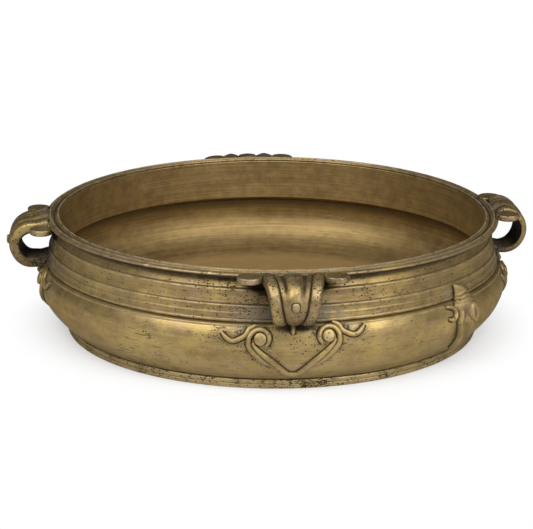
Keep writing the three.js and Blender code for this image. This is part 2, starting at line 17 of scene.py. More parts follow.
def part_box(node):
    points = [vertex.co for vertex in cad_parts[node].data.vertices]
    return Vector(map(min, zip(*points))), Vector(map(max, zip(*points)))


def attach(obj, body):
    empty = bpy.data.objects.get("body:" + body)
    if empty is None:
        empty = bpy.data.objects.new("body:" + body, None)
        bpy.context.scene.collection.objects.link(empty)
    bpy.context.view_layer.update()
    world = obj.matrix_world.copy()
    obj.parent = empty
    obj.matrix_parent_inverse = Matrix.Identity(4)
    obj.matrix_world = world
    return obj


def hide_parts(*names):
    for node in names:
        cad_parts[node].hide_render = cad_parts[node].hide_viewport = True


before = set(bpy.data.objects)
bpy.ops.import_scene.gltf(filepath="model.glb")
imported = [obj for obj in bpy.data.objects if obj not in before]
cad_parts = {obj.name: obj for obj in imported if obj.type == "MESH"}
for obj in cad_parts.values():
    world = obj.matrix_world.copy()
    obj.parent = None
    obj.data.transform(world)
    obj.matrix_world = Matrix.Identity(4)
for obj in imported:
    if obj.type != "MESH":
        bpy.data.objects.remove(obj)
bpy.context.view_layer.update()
MM = 0.001

# %% [markdown]
# ## The camera
# The picture was taken from a little above the rim and a few degrees to the left of the front
# handle, with a long lens. The angle was fitted to the ellipses of the rim, the shoulder and the
# foot. A small roll and shift put the vessel at its place in the frame.

# %% Camera
CAMERA_AZIMUTH = math.radians(-4.9)
CAMERA_ELEVATION = math.radians(16.147)
CAMERA_ROLL = math.radians(0.447)
CAMERA_DISTANCE = 2.209
CAMERA_LENS = 149.65
CAMERA_SHIFT = (-0.0100, -0.0171)
AIM = Vector((0, 0, 68.4 * MM))


def direction(azimuth, elevation):
    """Unit vector towards a place seen at an angle from the front (-Y) and above the floor."""
    level = math.cos(elevation)
    return Vector((math.sin(azimuth) * level, -math.cos(azimuth) * level, math.sin(elevation)))


camera_data = bpy.data.cameras.new("photo_camera")
camera_data.lens = CAMERA_LENS
camera_data.shift_x, camera_data.shift_y = CAMERA_SHIFT
camera = bpy.data.objects.new("photo_camera", camera_data)
bpy.context.scene.collection.objects.link(camera)
bpy.context.scene.camera = camera
to_camera = direction(CAMERA_AZIMUTH, CAMERA_ELEVATION)
look = (-to_camera).to_track_quat("-Z", "Y").to_matrix().to_4x4()
stand = Matrix.Translation(AIM + to_camera * CAMERA_DISTANCE)
camera.matrix_world = stand @ look @ Matrix.Rotation(CAMERA_ROLL, 4, "Z")
print("camera stands at", [round(v, 3) for v in camera.matrix_world.translation])

# %% [markdown]
# ## Tools for a finish
# A material is a small net of nodes. It could be clicked together by hand, but written out it is
# easy to repeat. What a node gives is wrapped as a Value, and a sum on Values adds a node, so that a
# finish can be read like a recipe.

# %% Values and nodes
class Value:
    """One output of a node. Plus, minus and times on it add a node to the same net."""

    def __init__(self, node, output=0):
        self.node, self.tree, self.socket = node, node.id_data, node.outputs[output]

    def __add__(self, other):
        return calc("ADD", self, other)

    def __mul__(self, other):
        return calc("MULTIPLY", self, other)

    def __sub__(self, other):
        return calc("SUBTRACT", self, other)

    def __rsub__(self, other):
        return calc("SUBTRACT", other, self)


def add(tree, kind, inputs=None, **options):
    """Adds one node. An input that is a Value is linked, any other is set on the node."""
    node = tree.nodes.new(kind)
    for key, value in options.items():
        setattr(node, key, value)
    for key, value in (inputs or {}).items():
        if isinstance(value, Value):
            tree.links.new(value.socket, node.inputs[key])
        else:
            node.inputs[key].default_value = value
    return node


# %% Sums on values
def calc(operation, first, second):
    """One sum on two numbers, of which at least one is a Value."""
    tree = first.tree if isinstance(first, Value) else second.tree
    return Value(add(tree, "ShaderNodeMath", {0: first, 1: second}, operation=operation))


def larger(first, second):
    """The larger of two numbers."""
    return calc("MAXIMUM", first, second)


def clipped(value):
    """The same sum, kept between 0 and 1."""
    value.node.use_clamp = True
    return value


# %% Steps, blends and clouds
def between(value, low, high):
    """0 below low, 1 above high, and a soft S-shaped step between them."""
    inputs = {"Value": value, "From Min": low, "From Max": high}
    node = add(value.tree, "ShaderNodeMapRange", inputs, interpolation_type="SMOOTHSTEP")
    return Value(node, "Result")


def blend(share, first, second):
    """A colour that goes from the first to the second as share goes from 0 to 1."""
    inputs = {0: share, 6: first, 7: second}
    return Value(add(share.tree, "ShaderNodeMix", inputs, data_type="RGBA"), 2)


def cloud(vector, scale, detail, roughness):
    """Soft random cloud between 0 and 1. Scale is in features per unit of the vector."""
    inputs = {"Vector": vector, "Scale": scale, "Detail": detail, "Roughness": roughness}
    return Value(add(vector.tree, "ShaderNodeTexNoise", inputs))


def mark(tree, name):
    """A number that the mesh carries at each point, such as how dirty it is there."""
    return Value(add(tree, "ShaderNodeAttribute", attribute_name=name), "Fac")


def empty_net(owner):
    """The cleared net of nodes of a material or a world."""
    owner.use_nodes = True
    owner.node_tree.nodes.clear()
    return owner.node_tree


# %% [markdown]
# ## The brass
# Old cast brass isn't one colour. The open faces go from straw to olive in soft clouds with brown
# patches, handled edges are pale, hollows keep dark grime, small black pits lie in clusters, and the
# lathe leaves fine lines round the turned pieces. These patterns come first. A painted picture could
# hold them too, but a pattern in space has no seams and fits every piece.

# %% Patterns of the brass
CLOUD_REACH = 0.30
PIT_RAGGED, PIT_DETAIL = 1.7, 2.0
PIT_GROWTH, PIT_LARGEST, PIT_EDGE = 3.0, 0.40, 0.10


def grain(coords, around, across, turned):
    """Coordinates for a pattern, in features per metre. On a turned piece they change at one rate
    round the vessel and at another along its profile. On a cast piece the rate is the root of the
    product of the two everywhere."""
    tree = coords.tree
    if not turned:
        inputs = {0: coords, "Scale": math.sqrt(around * across)}
        return Value(add(tree, "ShaderNodeVectorMath", inputs, operation="SCALE"))
    split = add(tree, "ShaderNodeSeparateXYZ", {0: coords})
    inputs = {"X": Value(split, "X") * around, "Y": Value(split, "Y") * around,
              "Z": mark(tree, "along") * across}
    return Value(add(tree, "ShaderNodeCombineXYZ", inputs))


def mixed(sources, weights):
    """Sum of clouds times their weights, stretched to run from 0 to 1 about their middle."""
    total = 0.0
    for source, weight in zip(sources, weights):
        total = source * weight + total
    middle = sum(weights) / 2
    return between(total, middle - CLOUD_REACH, middle + CLOUD_REACH)


def pit_spots(vector, amount):
    """One ragged pit in each random cell: its radius is the cell's own random number plus the amount
    of pitting less one, so that with little pitting most cells stay empty."""
    tree = vector.tree
    inputs = {"Vector": vector, "Scale": PIT_RAGGED, "Detail": PIT_DETAIL}
    ragged = Value(add(tree, "ShaderNodeTexNoise", inputs), "Color")
    vector = Value(add(tree, "ShaderNodeVectorMath", {0: vector, 1: ragged}, operation="ADD"))
    cells = add(tree, "ShaderNodeTexVoronoi", {"Vector": vector, "Scale": 1.0})
    chance = Value(add(tree, "ShaderNodeSeparateXYZ", {0: Value(cells, "Color")}), "X")
    reach = calc("MINIMUM", (chance + amount - 1.0) * PIT_GROWTH, PIT_LARGEST)
    return between(reach - Value(cells, "Distance"), 0.0, PIT_EDGE)


# %% [markdown]
# ## The recipe
# Under its film of age the brass is less of a mirror than when it was new, so part of it is matt.
# Each mesh carries marks for grime and painted shade, wear and painted highlight, grey film, soot
# and painted shade, pitting and the matt inside. The painted shade lies where the rim, the ledge, the
# handles, the ears and the leaf shade the brass, and the painted highlight lies on the tops of the
# studs. One recipe lays these over each other from the bare metal up, and each group of pieces gets
# its own amounts.

# %% Colours and amounts of the recipe
# The grime and soot colours also paint shade where the rim, handles, ears and leaf shade the brass.
GRIME_AND_SHADE = (0.028, 0.019, 0.010, 1)
SOOT_AND_SHADE = (0.018, 0.012, 0.006, 1)
PATINA = (0.185, 0.158, 0.122, 1)
INSIDE_PALE, INSIDE_DEEP = (0.310, 0.220, 0.094, 1), (0.160, 0.103, 0.038, 1)
INSIDE_FLOOR = (0.450, 0.308, 0.135, 1)
BROWN = (0.135, 0.088, 0.042, 1)
YELLOW, ROSY = (0.410, 0.298, 0.096, 1), (0.290, 0.198, 0.116, 1)
GRAZING, GRAZING_LEVEL = (0.50, 0.45, 0.36, 1), 0.25
# Clouds: features per metre, detail and roughness
CLOUDS = {"broad": (17.0, 3.0, 0.55), "fine": (95.0, 5.0, 0.65), "speck": (520.0, 2.0, 0.55),
          "tint": (33.0, 4.0, 0.6), "cluster": (40.0, 5.0, 0.7)}
LUMPS = (210.0, 3.0, 0.55)
# Grains: features per metre round the vessel and along the profile, detail and roughness
GRAINS = {"patch": (24.0, 80.0, 6.0, 0.72), "lines": (7.0, 800.0, 3.0, 0.6),
          "dashes": (60.0, 520.0, 2.0, 0.55), "blots": (320.0, 540.0, 4.0, 0.7)}
PIT_CELLS = (380.0, 600.0)
# Where a pattern starts to show and where it shows fully
RANGES = {"brown": (0.48, 0.70), "yellow": (0.52, 0.64), "rosy": (0.35, 0.48),
          "wear_and_highlight": (0.28, 0.60), "grey": (0.30, 0.58), "cluster": (0.30, 0.60),
          "blots": (0.70, 0.735), "dashes": (0.60, 0.68), "streaks": (0.46, 0.62),
          "dirt_and_shade": (0.16, 0.46), "soot_and_shade": (0.72, 1.22)}
SHADE_MIX, INSIDE_MIX = (0.7, 0.7, 0.35, 0.45), (0.8, 0.6, 0.5, 0.3)
PATCHY, BLOT_GAIN, SOOT_AND_SHADE_BREAK, SHELTER = 0.45, 0.205, 0.9, 0.7
INSIDE_GAIN, FLOOR_FROM, FLOOR_GAIN = 1.2, 0.75, 2.4
GREY_DULL, INSIDE_DULL, DULL_METAL, DULL_ROUGH = 0.7, 0.14, 0.9, 0.25
FINE_ROUGH, INSIDE_ROUGH_FROM, INSIDE_ROUGH = 0.20, 0.6, 0.65
LINE_RELIEF, SPECK_RELIEF, PIT_RELIEF, LUMP_RELIEF = 0.7, 0.5, 1.6, 2.2
RELIEF_STRENGTH, RELIEF_DEPTH = 0.4, 0.35 * MM
print("patterns:", sorted({**CLOUDS, **GRAINS}))

# %% Brass recipe
def shows(pattern, key):
    """How far a pattern shows, from 0 to 1, by the range of that name."""
    return between(pattern, *RANGES[key])


def brass(name, pale, deep, worn_and_highlight, rough, metal, turned, pitting, stains):
    """Worn brass. Pale, deep and worn are its colours, the worn one also used for painted highlight,
    metal is how much of a mirror it is, turned is whether it has lathe lines, pitting how many black
    pits it has and stains how many dashes."""
    material = bpy.data.materials.new(name)
    tree = empty_net(material)
    coords = Value(add(tree, "ShaderNodeTexCoord"), "Object")
    broad, fine, speck, tint, cluster = (cloud(coords, *shape) for shape in CLOUDS.values())
    patch, lines, dashes, blots = (cloud(grain(coords, *shape[:2], turned), 1.0, *shape[2:])
                                   for shape in GRAINS.values())

    colour = blend(mixed((broad, fine, speck, lines), SHADE_MIX), deep, pale)
    colour = blend(shows(patch, "brown") * PATCHY, colour, BROWN)
    colour = blend(shows(tint, "yellow") * PATCHY, colour, YELLOW)
    colour = blend((1.0 - shows(tint, "rosy")) * PATCHY, colour, ROSY)
    matte = mark(tree, "matte")
    inside = blend(mixed((lines, patch, fine, broad), INSIDE_MIX), INSIDE_DEEP, INSIDE_PALE)
    inside = blend(clipped(matte - FLOOR_FROM) * FLOOR_GAIN, inside, INSIDE_FLOOR)
    colour = blend(clipped(matte * INSIDE_GAIN), colour, inside)

    # Wear is rubbing, and on the tops of the studs it is a painted highlight.
    colour = blend(mark(tree, "wear_and_highlight") * shows(fine, "wear_and_highlight"), colour, worn_and_highlight)
    grey = mark(tree, "grey") * shows(fine, "grey")
    colour = blend(grey, colour, PATINA)

    open_face = 1.0 - matte * SHELTER
    amount = (mark(tree, "pits") + pitting) * shows(cluster, "cluster") * open_face
    spots = pit_spots(grain(coords, *PIT_CELLS, turned), amount)
    pits = larger(spots, shows(blots + amount * BLOT_GAIN, "blots"))
    streak = shows(dashes, "dashes") * shows(broad, "streaks") * stains * open_face
    # This darkening is partly real grime and partly painted shade.
    dirt_and_shade = larger(mark(tree, "dirt_and_shade") * shows(fine, "dirt_and_shade"), larger(streak, pits))
    colour = blend(dirt_and_shade, colour, GRIME_AND_SHADE)
    # This near-black layer is partly real soot and partly painted shade.
    soot_and_shade = shows(mark(tree, "soot_and_shade") + fine * SOOT_AND_SHADE_BREAK, "soot_and_shade")
    colour = blend(soot_and_shade, colour, SOOT_AND_SHADE)

    dull = larger(larger(larger(dirt_and_shade, soot_and_shade), grey * GREY_DULL), matte * INSIDE_DULL)
    gloss = fine * FINE_ROUGH + (rough - FINE_ROUGH / 2) + dull * DULL_ROUGH
    height = lines * LINE_RELIEF + speck * SPECK_RELIEF - pits * PIT_RELIEF
    if not turned:
        height = height + cloud(coords, *LUMPS) * LUMP_RELIEF
    relief = add(tree, "ShaderNodeBump", {
        "Height": height, "Strength": RELIEF_STRENGTH, "Distance": RELIEF_DEPTH})
    surface = add(tree, "ShaderNodeBsdfPrincipled", {
        "Base Color": colour,
        "Metallic": clipped(1.0 - dull * DULL_METAL) * metal,
        "Roughness": clipped(gloss + clipped(matte - INSIDE_ROUGH_FROM) * INSIDE_ROUGH),
        "Specular IOR Level": GRAZING_LEVEL,
        "Specular Tint": GRAZING,
        "Normal": Value(relief, "Normal"),
    })
    add(tree, "ShaderNodeOutputMaterial", {"Surface": Value(surface, "BSDF")})
    return material


# %% [markdown]
# ## Five finishes
# The belly is straw-coloured and polished, the bands and the rim are darker, the handles are brown
# from hands, and the scrolls are cast and never turned. Only colours and amounts differ, so that all
# the pieces look like one brass.

# %% Finishes
STRAW, OLIVE = (0.440, 0.326, 0.137, 1), (0.255, 0.178, 0.070, 1)
SCROLL_PALE, SCROLL_DEEP = (0.370, 0.275, 0.120, 1), (0.220, 0.155, 0.062, 1)
HANDLE_PALE, HANDLE_DEEP = (0.330, 0.243, 0.110, 1), (0.126, 0.085, 0.037, 1)
BAND_PALE, BAND_DEEP = (0.360, 0.260, 0.110, 1), (0.190, 0.128, 0.053, 1)
RIM_PALE, RIM_DEEP = (0.320, 0.232, 0.108, 1), (0.165, 0.112, 0.050, 1)
RUBBED_AND_HIGHLIGHT, GREY_RUBBED = (0.430, 0.335, 0.175, 1), (0.540, 0.460, 0.320, 1)
FINISH_ROWS = {
    "belly_brass": ("belly_turned_brass", STRAW, OLIVE, RUBBED_AND_HIGHLIGHT, 0.42, 0.80, True, 0.16, 0.8),
    "band_brass": ("banded_brass", BAND_PALE, BAND_DEEP, RUBBED_AND_HIGHLIGHT, 0.45, 0.75, True, 0.22, 0.5),
    "rim_brass": ("rim_worn_brass", RIM_PALE, RIM_DEEP, GREY_RUBBED, 0.45, 0.70, True, 0.20, 0.3),
    "handle_brass": ("handle_rubbed_brass", HANDLE_PALE, HANDLE_DEEP, RUBBED_AND_HIGHLIGHT, 0.45, 0.75, False,
                     0.36, 0.0),
    "scroll_brass": ("scroll_cast_brass", SCROLL_PALE, SCROLL_DEEP, RUBBED_AND_HIGHLIGHT, 0.50, 0.72, False,
                     0.16, 0.0),
}
FINISHES = {slot: brass(*row) for slot, row in FINISH_ROWS.items()}
print("finishes:", sorted(FINISHES))

# %% [markdown]
# ## Tools for a skin
# Each piece is a grid of points: rows run along a profile or a path, and each row is a closed ring.
# Sculpting or a stack of modifiers would also do, but a grid keeps the shape in a few formulas, and
# every point can carry its marks. A hand-made vessel isn't quite round, so the same slight sway is
# given to all the pieces.

# %% Sizes of the rings
RIM_WIDTH = 13.5


def ring_size(node):
    """Outer radius, lowest and highest level of a turned CAD ring, in millimetres."""
    low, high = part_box(node)
    return high.x / MM, low.z / MM, high.z / MM


rim_radius, rim_low, rim_top = ring_size("rim_ring")
collar_low = ring_size("collar")[1]
bowl_low, bowl_top = ring_size("bowl")[1:]
foot_radius, foot_low = ring_size("foot_ring")[:2]
mouth = rim_radius - RIM_WIDTH
print("mouth radius", round(mouth, 1), "rim from", round(rim_low, 1), "to", round(rim_top, 1))

# %% Hand-made sway
SWAY = ((2, 0.7, 0.0011), (3, 2.1, 0.0007))
RIM_WAVE = (2, 1.9, 0.5)
WAVE_HEIGHT = 116.0
UNEVEN = ((0.25, -0.19, 0.23, 0.3), (-0.16, 0.27, 0.20, 1.7), (0.22, 0.17, -0.28, 4.1),
          (-0.41, 0.33, 0.36, 2.6))
UNEVEN_SIZE = 0.03


def xyz(x, y, z):
    """Places from three coordinates, each spread to their common shape."""
    return np.stack(np.broadcast_arrays(x, y, z), -1)


def handmade(points):
    """Scales each point's distance from the axis by 1 plus a few slow sine waves round the vessel,
    and lifts it by another that grows with the square of the height. Short waves through space make
    all the faces a little uneven, as castings are."""
    x, y, z = np.moveaxis(points, -1, 0)
    angle = np.arctan2(x, -y)
    scale = 1 + sum(size * np.sin(lobes * angle + start) for lobes, start, size in SWAY)
    lobes, start, size = RIM_WAVE
    lift = size * np.sin(lobes * angle + start) * (z / WAVE_HEIGHT) ** 2
    waves = sum(np.sin(points @ np.array(wave[:3]) + wave[3]) for wave in UNEVEN)
    scale = scale + UNEVEN_SIZE * waves / rim_radius
    return xyz(x * scale, y * scale, z + lift)


# %% Faces of a grid
def with_ends(values):
    """A grid's values in a row, and after them the mean of its first and of its last ring."""
    flat = values.reshape(-1, *values.shape[2:])
    return np.concatenate([flat, values[:1].mean(1), values[-1:].mean(1)])


def grid_faces(rows, columns, ring):
    """Quads between each ring and the next. With ring the last row joins the first, otherwise
    triangles to the middle point of each end close the skin."""
    index = np.arange(rows * columns).reshape(rows, columns)
    here = index if ring else index[:-1]
    there = np.roll(index, -1, 0) if ring else index[1:]
    turn = lambda rings: np.roll(rings, -1, -1)
    quads = np.stack([here, turn(here), turn(there), there], -1).reshape(-1, 4)
    if ring:
        return quads, np.zeros((0, 3), int)
    first = np.full(columns, rows * columns)
    start = np.stack([first, turn(index[0]), index[0]], -1)
    end = np.stack([first + 1, index[-1], turn(index[-1])], -1)
    return quads, np.concatenate([start, end])


def volume(points, triangles):
    """Sum over the triangles of the corners' triple product, a sixth of it each."""
    a, b, c = (points[triangles[:, k]] for k in range(3))
    return np.einsum("ij,ij->i", a, np.cross(b, c)).sum() / 6


# %% Making a piece
MARKS = ("along", "dirt_and_shade", "wear_and_highlight", "grey", "soot_and_shade", "pits", "matte")


def piece(name, grid, marks, slot, *nodes, ring=False):
    """Makes one piece of the vessel from its grid in millimetres, gives it its marks and its finish,
    turns its faces outwards by the sign of its volume, hangs it under the root body and hides its CAD
    nodes."""
    rows, columns = grid.shape[:2]
    points = handmade(grid)
    points = points.reshape(-1, 3) if ring else with_ends(points)
    quads, triangles = grid_faces(rows, columns, ring)
    halves = np.concatenate([quads[:, [0, 1, 2]], quads[:, [0, 2, 3]], triangles])
    size = volume(points, halves)
    if size < 0:
        quads, triangles = quads[:, ::-1], triangles[:, ::-1]
    mesh = bpy.data.meshes.new(name)
    mesh.from_pydata(points * MM, [], quads.tolist() + triangles.tolist())
    mesh.polygons.foreach_set("use_smooth", np.ones(len(mesh.polygons), bool))
    for key in MARKS:
        values = np.broadcast_to(marks.get(key, 0.0), (rows, columns)).astype(np.float32)
        values = values.ravel() if ring else with_ends(values)
        mesh.attributes.new(key, "FLOAT", "POINT").data.foreach_set("value", values)
    mesh.materials.append(FINISHES[slot])
    obj = bpy.data.objects.new(name, mesh)
    bpy.context.scene.collection.objects.link(obj)
    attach(obj, "root")
    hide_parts(*nodes)
    print(f"{name}: {len(halves)} triangles, {abs(size) / 1000:.1f} cm3")


# %% [markdown]
# ## Turned rings
# The foot, the bowl, the collar and the rim were turned on a lathe, so each is a profile carried
# round the upright axis. The profiles are drawn as corners, and every corner is eased, because worn
# brass has no sharp edge. Grime sits where the profile lies below its own blurred line, and wear
# shows where it stands above it.

# %% Lines of points
def full_turn(count):
    """Angles at equal steps round a full turn."""
    return np.linspace(0, 2 * np.pi, count, endpoint=False)


def lengths(points):
    """Distance along a line of points, from its start to each point."""
    steps = np.linalg.norm(np.diff(points, axis=0), axis=1)
    return np.concatenate([[0.0], np.cumsum(steps)])


def walked(profile):
    """Distance along a profile as a column, in metres, for the patterns of the brass."""
    return lengths(profile)[:, None] * MM


def even(points, count):
    """Points at equal spacing along a line of points."""
    distance = lengths(points)
    places = np.linspace(0, distance[-1], count)
    return np.stack([np.interp(places, distance, column) for column in points.T], -1)


def unit(vectors):
    """Rows of vectors, each divided by its length."""
    return vectors / np.linalg.norm(vectors, axis=1, keepdims=True)


def arc(start, corner, end, t):
    """Quadratic curve from start to end that leaves and arrives in the direction of the corner."""
    return (1 - t) ** 2 * start + 2 * t * (1 - t) * corner + t ** 2 * end


# %% Profiles
EASE_STEPS = np.linspace(0, 1, 5)[:, None]
EASE_SHARE = 0.45
CAVITY_STEP = 0.25


def eased(points, radius):
    """Replaces each inner corner of a line by a quadratic arc that starts and ends one radius away,
    or less where the neighbouring corners are near."""
    points = np.asarray(points, float)
    before, corner, after = points[:-2], points[1:-1], points[2:]
    back, ahead = before - corner, after - corner
    back_length = np.linalg.norm(back, axis=1, keepdims=True)
    ahead_length = np.linalg.norm(ahead, axis=1, keepdims=True)
    reach = np.minimum(radius, EASE_SHARE * np.minimum(back_length, ahead_length))
    start = (corner + back / back_length * reach)[:, None]
    end = (corner + ahead / ahead_length * reach)[:, None]
    arcs = arc(start, corner[:, None], end, EASE_STEPS)
    return np.concatenate([points[:1], arcs.reshape(-1, 2), points[-1:]])


def outline(*stretches):
    """Joins stretches of a profile, each given as corners, an easing radius and a spacing."""
    parts = []
    for corners, radius, spacing in stretches:
        line = eased(corners, radius)
        count = max(2, int(round(lengths(line)[-1] / spacing)) + 1)
        parts.append(even(line, count)[:-1])
    return np.concatenate(parts)


def cavity(profile, reach):
    """How far each point of a closed profile lies below the same profile blurred over a reach,
    in millimetres: positive in a hollow, negative on an edge. The blur is a Gaussian, by FFT."""
    closed = np.concatenate([profile, profile[:1]])
    distance = lengths(closed)
    whole = distance[-1]
    count = int(whole / CAVITY_STEP)
    line = even(closed, count + 1)[:-1]
    turns = np.fft.fftfreq(count, whole / count)[:, None]
    blur = np.exp(-2 * (np.pi * turns * reach) ** 2)
    soft = np.fft.ifft(np.fft.fft(line, axis=0) * blur, axis=0).real
    along = unit(np.roll(line, -1, 0) - np.roll(line, 1, 0))
    depth = (soft[:, 0] - line[:, 0]) * along[:, 1] - (soft[:, 1] - line[:, 1]) * along[:, 0]
    places = np.arange(count) * whole / count
    return np.interp(distance[:-1], places, depth, period=whole)


# %% Soft curves
def bump(value, middle, width):
    """A soft bell of height 1 at the middle."""
    return np.exp(-(((value - middle) / width) ** 2))


def plateau(value, width):
    """A bell with a flat top about 0, by the fourth power."""
    return np.exp(-((value / width) ** 4))


def step(value, low, high):
    """0 below low, 1 above high, and a soft S-shaped step between them."""
    share = np.clip((value - low) / (high - low), 0, 1)
    return share * share * (3 - 2 * share)


# %% Turning a profile
COLUMNS = 720
FRONT_ANGLES = full_turn(COLUMNS)


def turned(profile):
    """Carries a profile of (radius, height) round the upright axis. Angle 0 is the front."""
    radius, height = profile[:, :1], profile[:, 1:]
    return xyz(radius * np.sin(FRONT_ANGLES), -radius * np.cos(FRONT_ANGLES), height)


print("turned rings have", COLUMNS, "columns")

# %% [markdown]
# ## Where grime and painted shade gather
# Hands can't reach the collar beside and behind the handles, so grime, pits and a grey film stay
# there, thickest to the left of the front handle. Behind the straps and under the ears the collar is
# also painted dark as shade. A few bell curves round the vessel, laid over the quarter turn of the
# handles, say how much. They could be painted by hand, but curves follow the handles wherever they
# stand.

# %% Grime and painted shade round the handles
HANDLE_PLACES = ("front", "right", "back", "left")
HANDLE_TURNS = np.radians([0.0, 90.0, 181.8, 270.0])
HANDLES = list(zip(HANDLE_PLACES, HANDLE_TURNS))
LEFT_GRIME = (1.0, 1.0, 0.8, 0.7)
RIGHT_GRIME = (0.3, 0.8, 0.5, 1.0)
GRIME_START, GRIME_REACH = 25.0, 52.0
# Bells of painted shade under the ears and behind the straps
EAR_MIDDLE, EAR_SHADE = 32.0, 8.0
ROOT_MIDDLE, ROOT_REACH = 24.0, 22.0
BEHIND_STRAP = 28.0


def wrapped(angle):
    """The same angle, between minus half a turn and half a turn."""
    return np.mod(angle + np.pi, 2 * np.pi) - np.pi


def near_handles():
    """Grime beside the handles, and how far a column lies behind a strap, under an ear or beside its
    lower end: sums of bells over the handles, by the distance across from each. The bells behind a
    strap and under an ear mark painted shade."""
    beside, behind, under, root = np.zeros((4, COLUMNS))
    for turn, on_left, on_right in zip(HANDLE_TURNS, LEFT_GRIME, RIGHT_GRIME):
        across = wrapped(FRONT_ANGLES - turn) * rim_radius
        left = step(-across, -GRIME_START, GRIME_START)
        weight = on_right + (on_left - on_right) * left
        beside += weight * bump(np.maximum(np.abs(across) - GRIME_START, 0), 0, GRIME_REACH)
        behind += plateau(across, BEHIND_STRAP)
        under += bump(np.abs(across), EAR_MIDDLE, EAR_SHADE)
        root += bump(np.abs(across), ROOT_MIDDLE, ROOT_REACH)
    return beside, behind, under, root


# The bells behind the straps and under the ears are painted shade, with some grime.
grime_beside, shade_and_grime_behind, grime_under, grime_root = near_handles()
print("grime beside handles up to", round(float(grime_beside.max()), 2))

# %% [markdown]
# ## The foot
# The foot is a low ring under the belly, with one thin line turned into its face. It is pitted all
# over, most at the front right, because it stands on wet floors.

# %% Foot ring
FINE, COARSE = 0.45, 3.0
FOOT_WIDTH, FOOT_HEIGHT = 16.0, 9.0
FOOT_FACE = [(-1.0, 0), (-0.2, 0.6), (0.0, 1.5), (-0.1, 3.9), (-0.5, 4.3), (-0.5, 4.7), (-0.1, 5.1),
             (-0.2, 7.5), (-0.8, 8.5), (-2.0, FOOT_HEIGHT)]
FOOT_JOINT = (8.1, 8.8)
WET_MIDDLE, WET_REACH = 0.26, 0.34
foot_profile = outline(
    ([(-FOOT_WIDTH, 0), FOOT_FACE[0]], 0.5, COARSE),
    (FOOT_FACE, 0.5, FINE),
    ([FOOT_FACE[-1], (-FOOT_WIDTH, FOOT_HEIGHT), (-FOOT_WIDTH, 0)], 0.5, COARSE),
) + (foot_radius, foot_low)
foot_depth = cavity(foot_profile, 1.2)[:, None]
foot_level = foot_profile[:, 1:] - foot_low
foot_marks = {
    "along": walked(foot_profile),
    "dirt_and_shade": np.clip(foot_depth / 0.4, 0, 0.7) + 0.8 * step(foot_level, *FOOT_JOINT),
    "wear_and_highlight": 0.70 + 0.3 * np.clip(-foot_depth / 0.5, 0, 1),
    "pits": 0.48 + 0.5 * bump(FRONT_ANGLES, WET_MIDDLE, WET_REACH),
}
piece("foot_skin", turned(foot_profile), foot_marks, "band_brass", "foot_ring", ring=True)

# %% [markdown]
# ## The belly
# The belly swells out below the shoulder and draws in to the foot. Its profile is a curve with four
# control points, offset inwards for the wall. The scrollwork is laid out on this curve later, so the
# curve is kept as a table of places and outward directions.

# %% Belly curve
SHOULDER = np.array([226.5, 66.5])
BELLY_PULLS = np.array([(239.5, 46.0), (222.5, 24.0)])
BELLY_FOOT = np.array([205.5, 11.0])
BELLY_WALL = 5.5
BEYOND = 40.0
BELLY_POINTS = 400


def belly_table():
    """Points of the cubic curve from the shoulder down, with a straight run beyond each end, then
    the distance down from the shoulder and the outward direction at each point."""
    t = np.linspace(0, 1, BELLY_POINTS)[:, None]
    one, two = BELLY_PULLS
    curve = ((1 - t) ** 3 * SHOULDER + 3 * t * (1 - t) ** 2 * one + 3 * t ** 2 * (1 - t) * two
             + t ** 3 * BELLY_FOOT)
    beyond = lambda end, before: end + (end - before) / np.linalg.norm(end - before) * BEYOND
    points = np.concatenate([[beyond(curve[0], curve[1])], curve, [beyond(curve[-1], curve[-2])]])
    along = unit(np.gradient(points, axis=0))
    along[0], along[-1] = along[1], along[-2]
    return points, lengths(points) - BEYOND, np.stack([-along[:, 1], along[:, 0]], -1)


belly_points, belly_down, belly_out = belly_table()
belly_length = belly_down[-2]


def on_belly(across, down, raised):
    """A place on the belly: across round the shoulder, down along the curve, raised outwards."""
    at = lambda column: np.interp(down, belly_down, column)
    radius = at(belly_points[:, 0]) + raised * at(belly_out[:, 0])
    height = at(belly_points[:, 1]) + raised * at(belly_out[:, 1])
    angle = across / SHOULDER[0]
    return xyz(radius * np.sin(angle), -radius * np.cos(angle), height)


print("belly is", round(belly_length, 1), "mm from shoulder to foot")

# %% [markdown]
# ## Paths of the scrollwork
# Under each handle lie a heart, two curls round two bosses, two tendrils and a drop. Their paths are
# flat drawings on the belly: across and down. They are worked out before the belly is made, because
# the belly carries a dark line and a grey film beside them.

# %% Scroll paths
BOSS_ACROSS, BOSS_DOWN, BOSS_RADIUS = 30.3, 9.5, 5.6
CURL_RADIUS, CURL_FLARE, CURL_TURN = 7.9, 2.3, 50.0
CURL_FROM, CURL_TO, CURL_CORNERS = 0.0, 232.0, 16
CURL_TAIL = [(15.0, 40.4), (22.2, 37.0), (29.6, 30.0), (36.6, 22.4), (40.4, 16.2)]
CURL_WIDTH, STRAND_WIDTH, STRAND_HEIGHT = 4.9, 5.6, 3.0
TENDRIL_WIDTH, TENDRIL_HEIGHT, TENDRIL_CLEAR = 4.6, 2.6, 4.6
TENDRIL_HUG = (70, 40, 12)
TENDRIL_TIP, TENDRIL_WAVE, TENDRIL_DIP = 65.3, 12.0, 1.5
HEART_TIP = belly_length - 11.4
HEART_HALF = np.array([(2.6, HEART_TIP - 0.7), (6.5, HEART_TIP - 3.6), (19.0, 34.0), (33.0, 19.5),
                       (37.0, 13.0)])
PATH_POINTS, PATH_FINER = 160, 12
MIRROR = np.array([-1, 1])
SCROLL_SHIFT = np.array([1.3, 0.0, 0.0, 0.0])
SCROLL_TILT = np.array([0.035, 0.0, 0.0, 0.0])


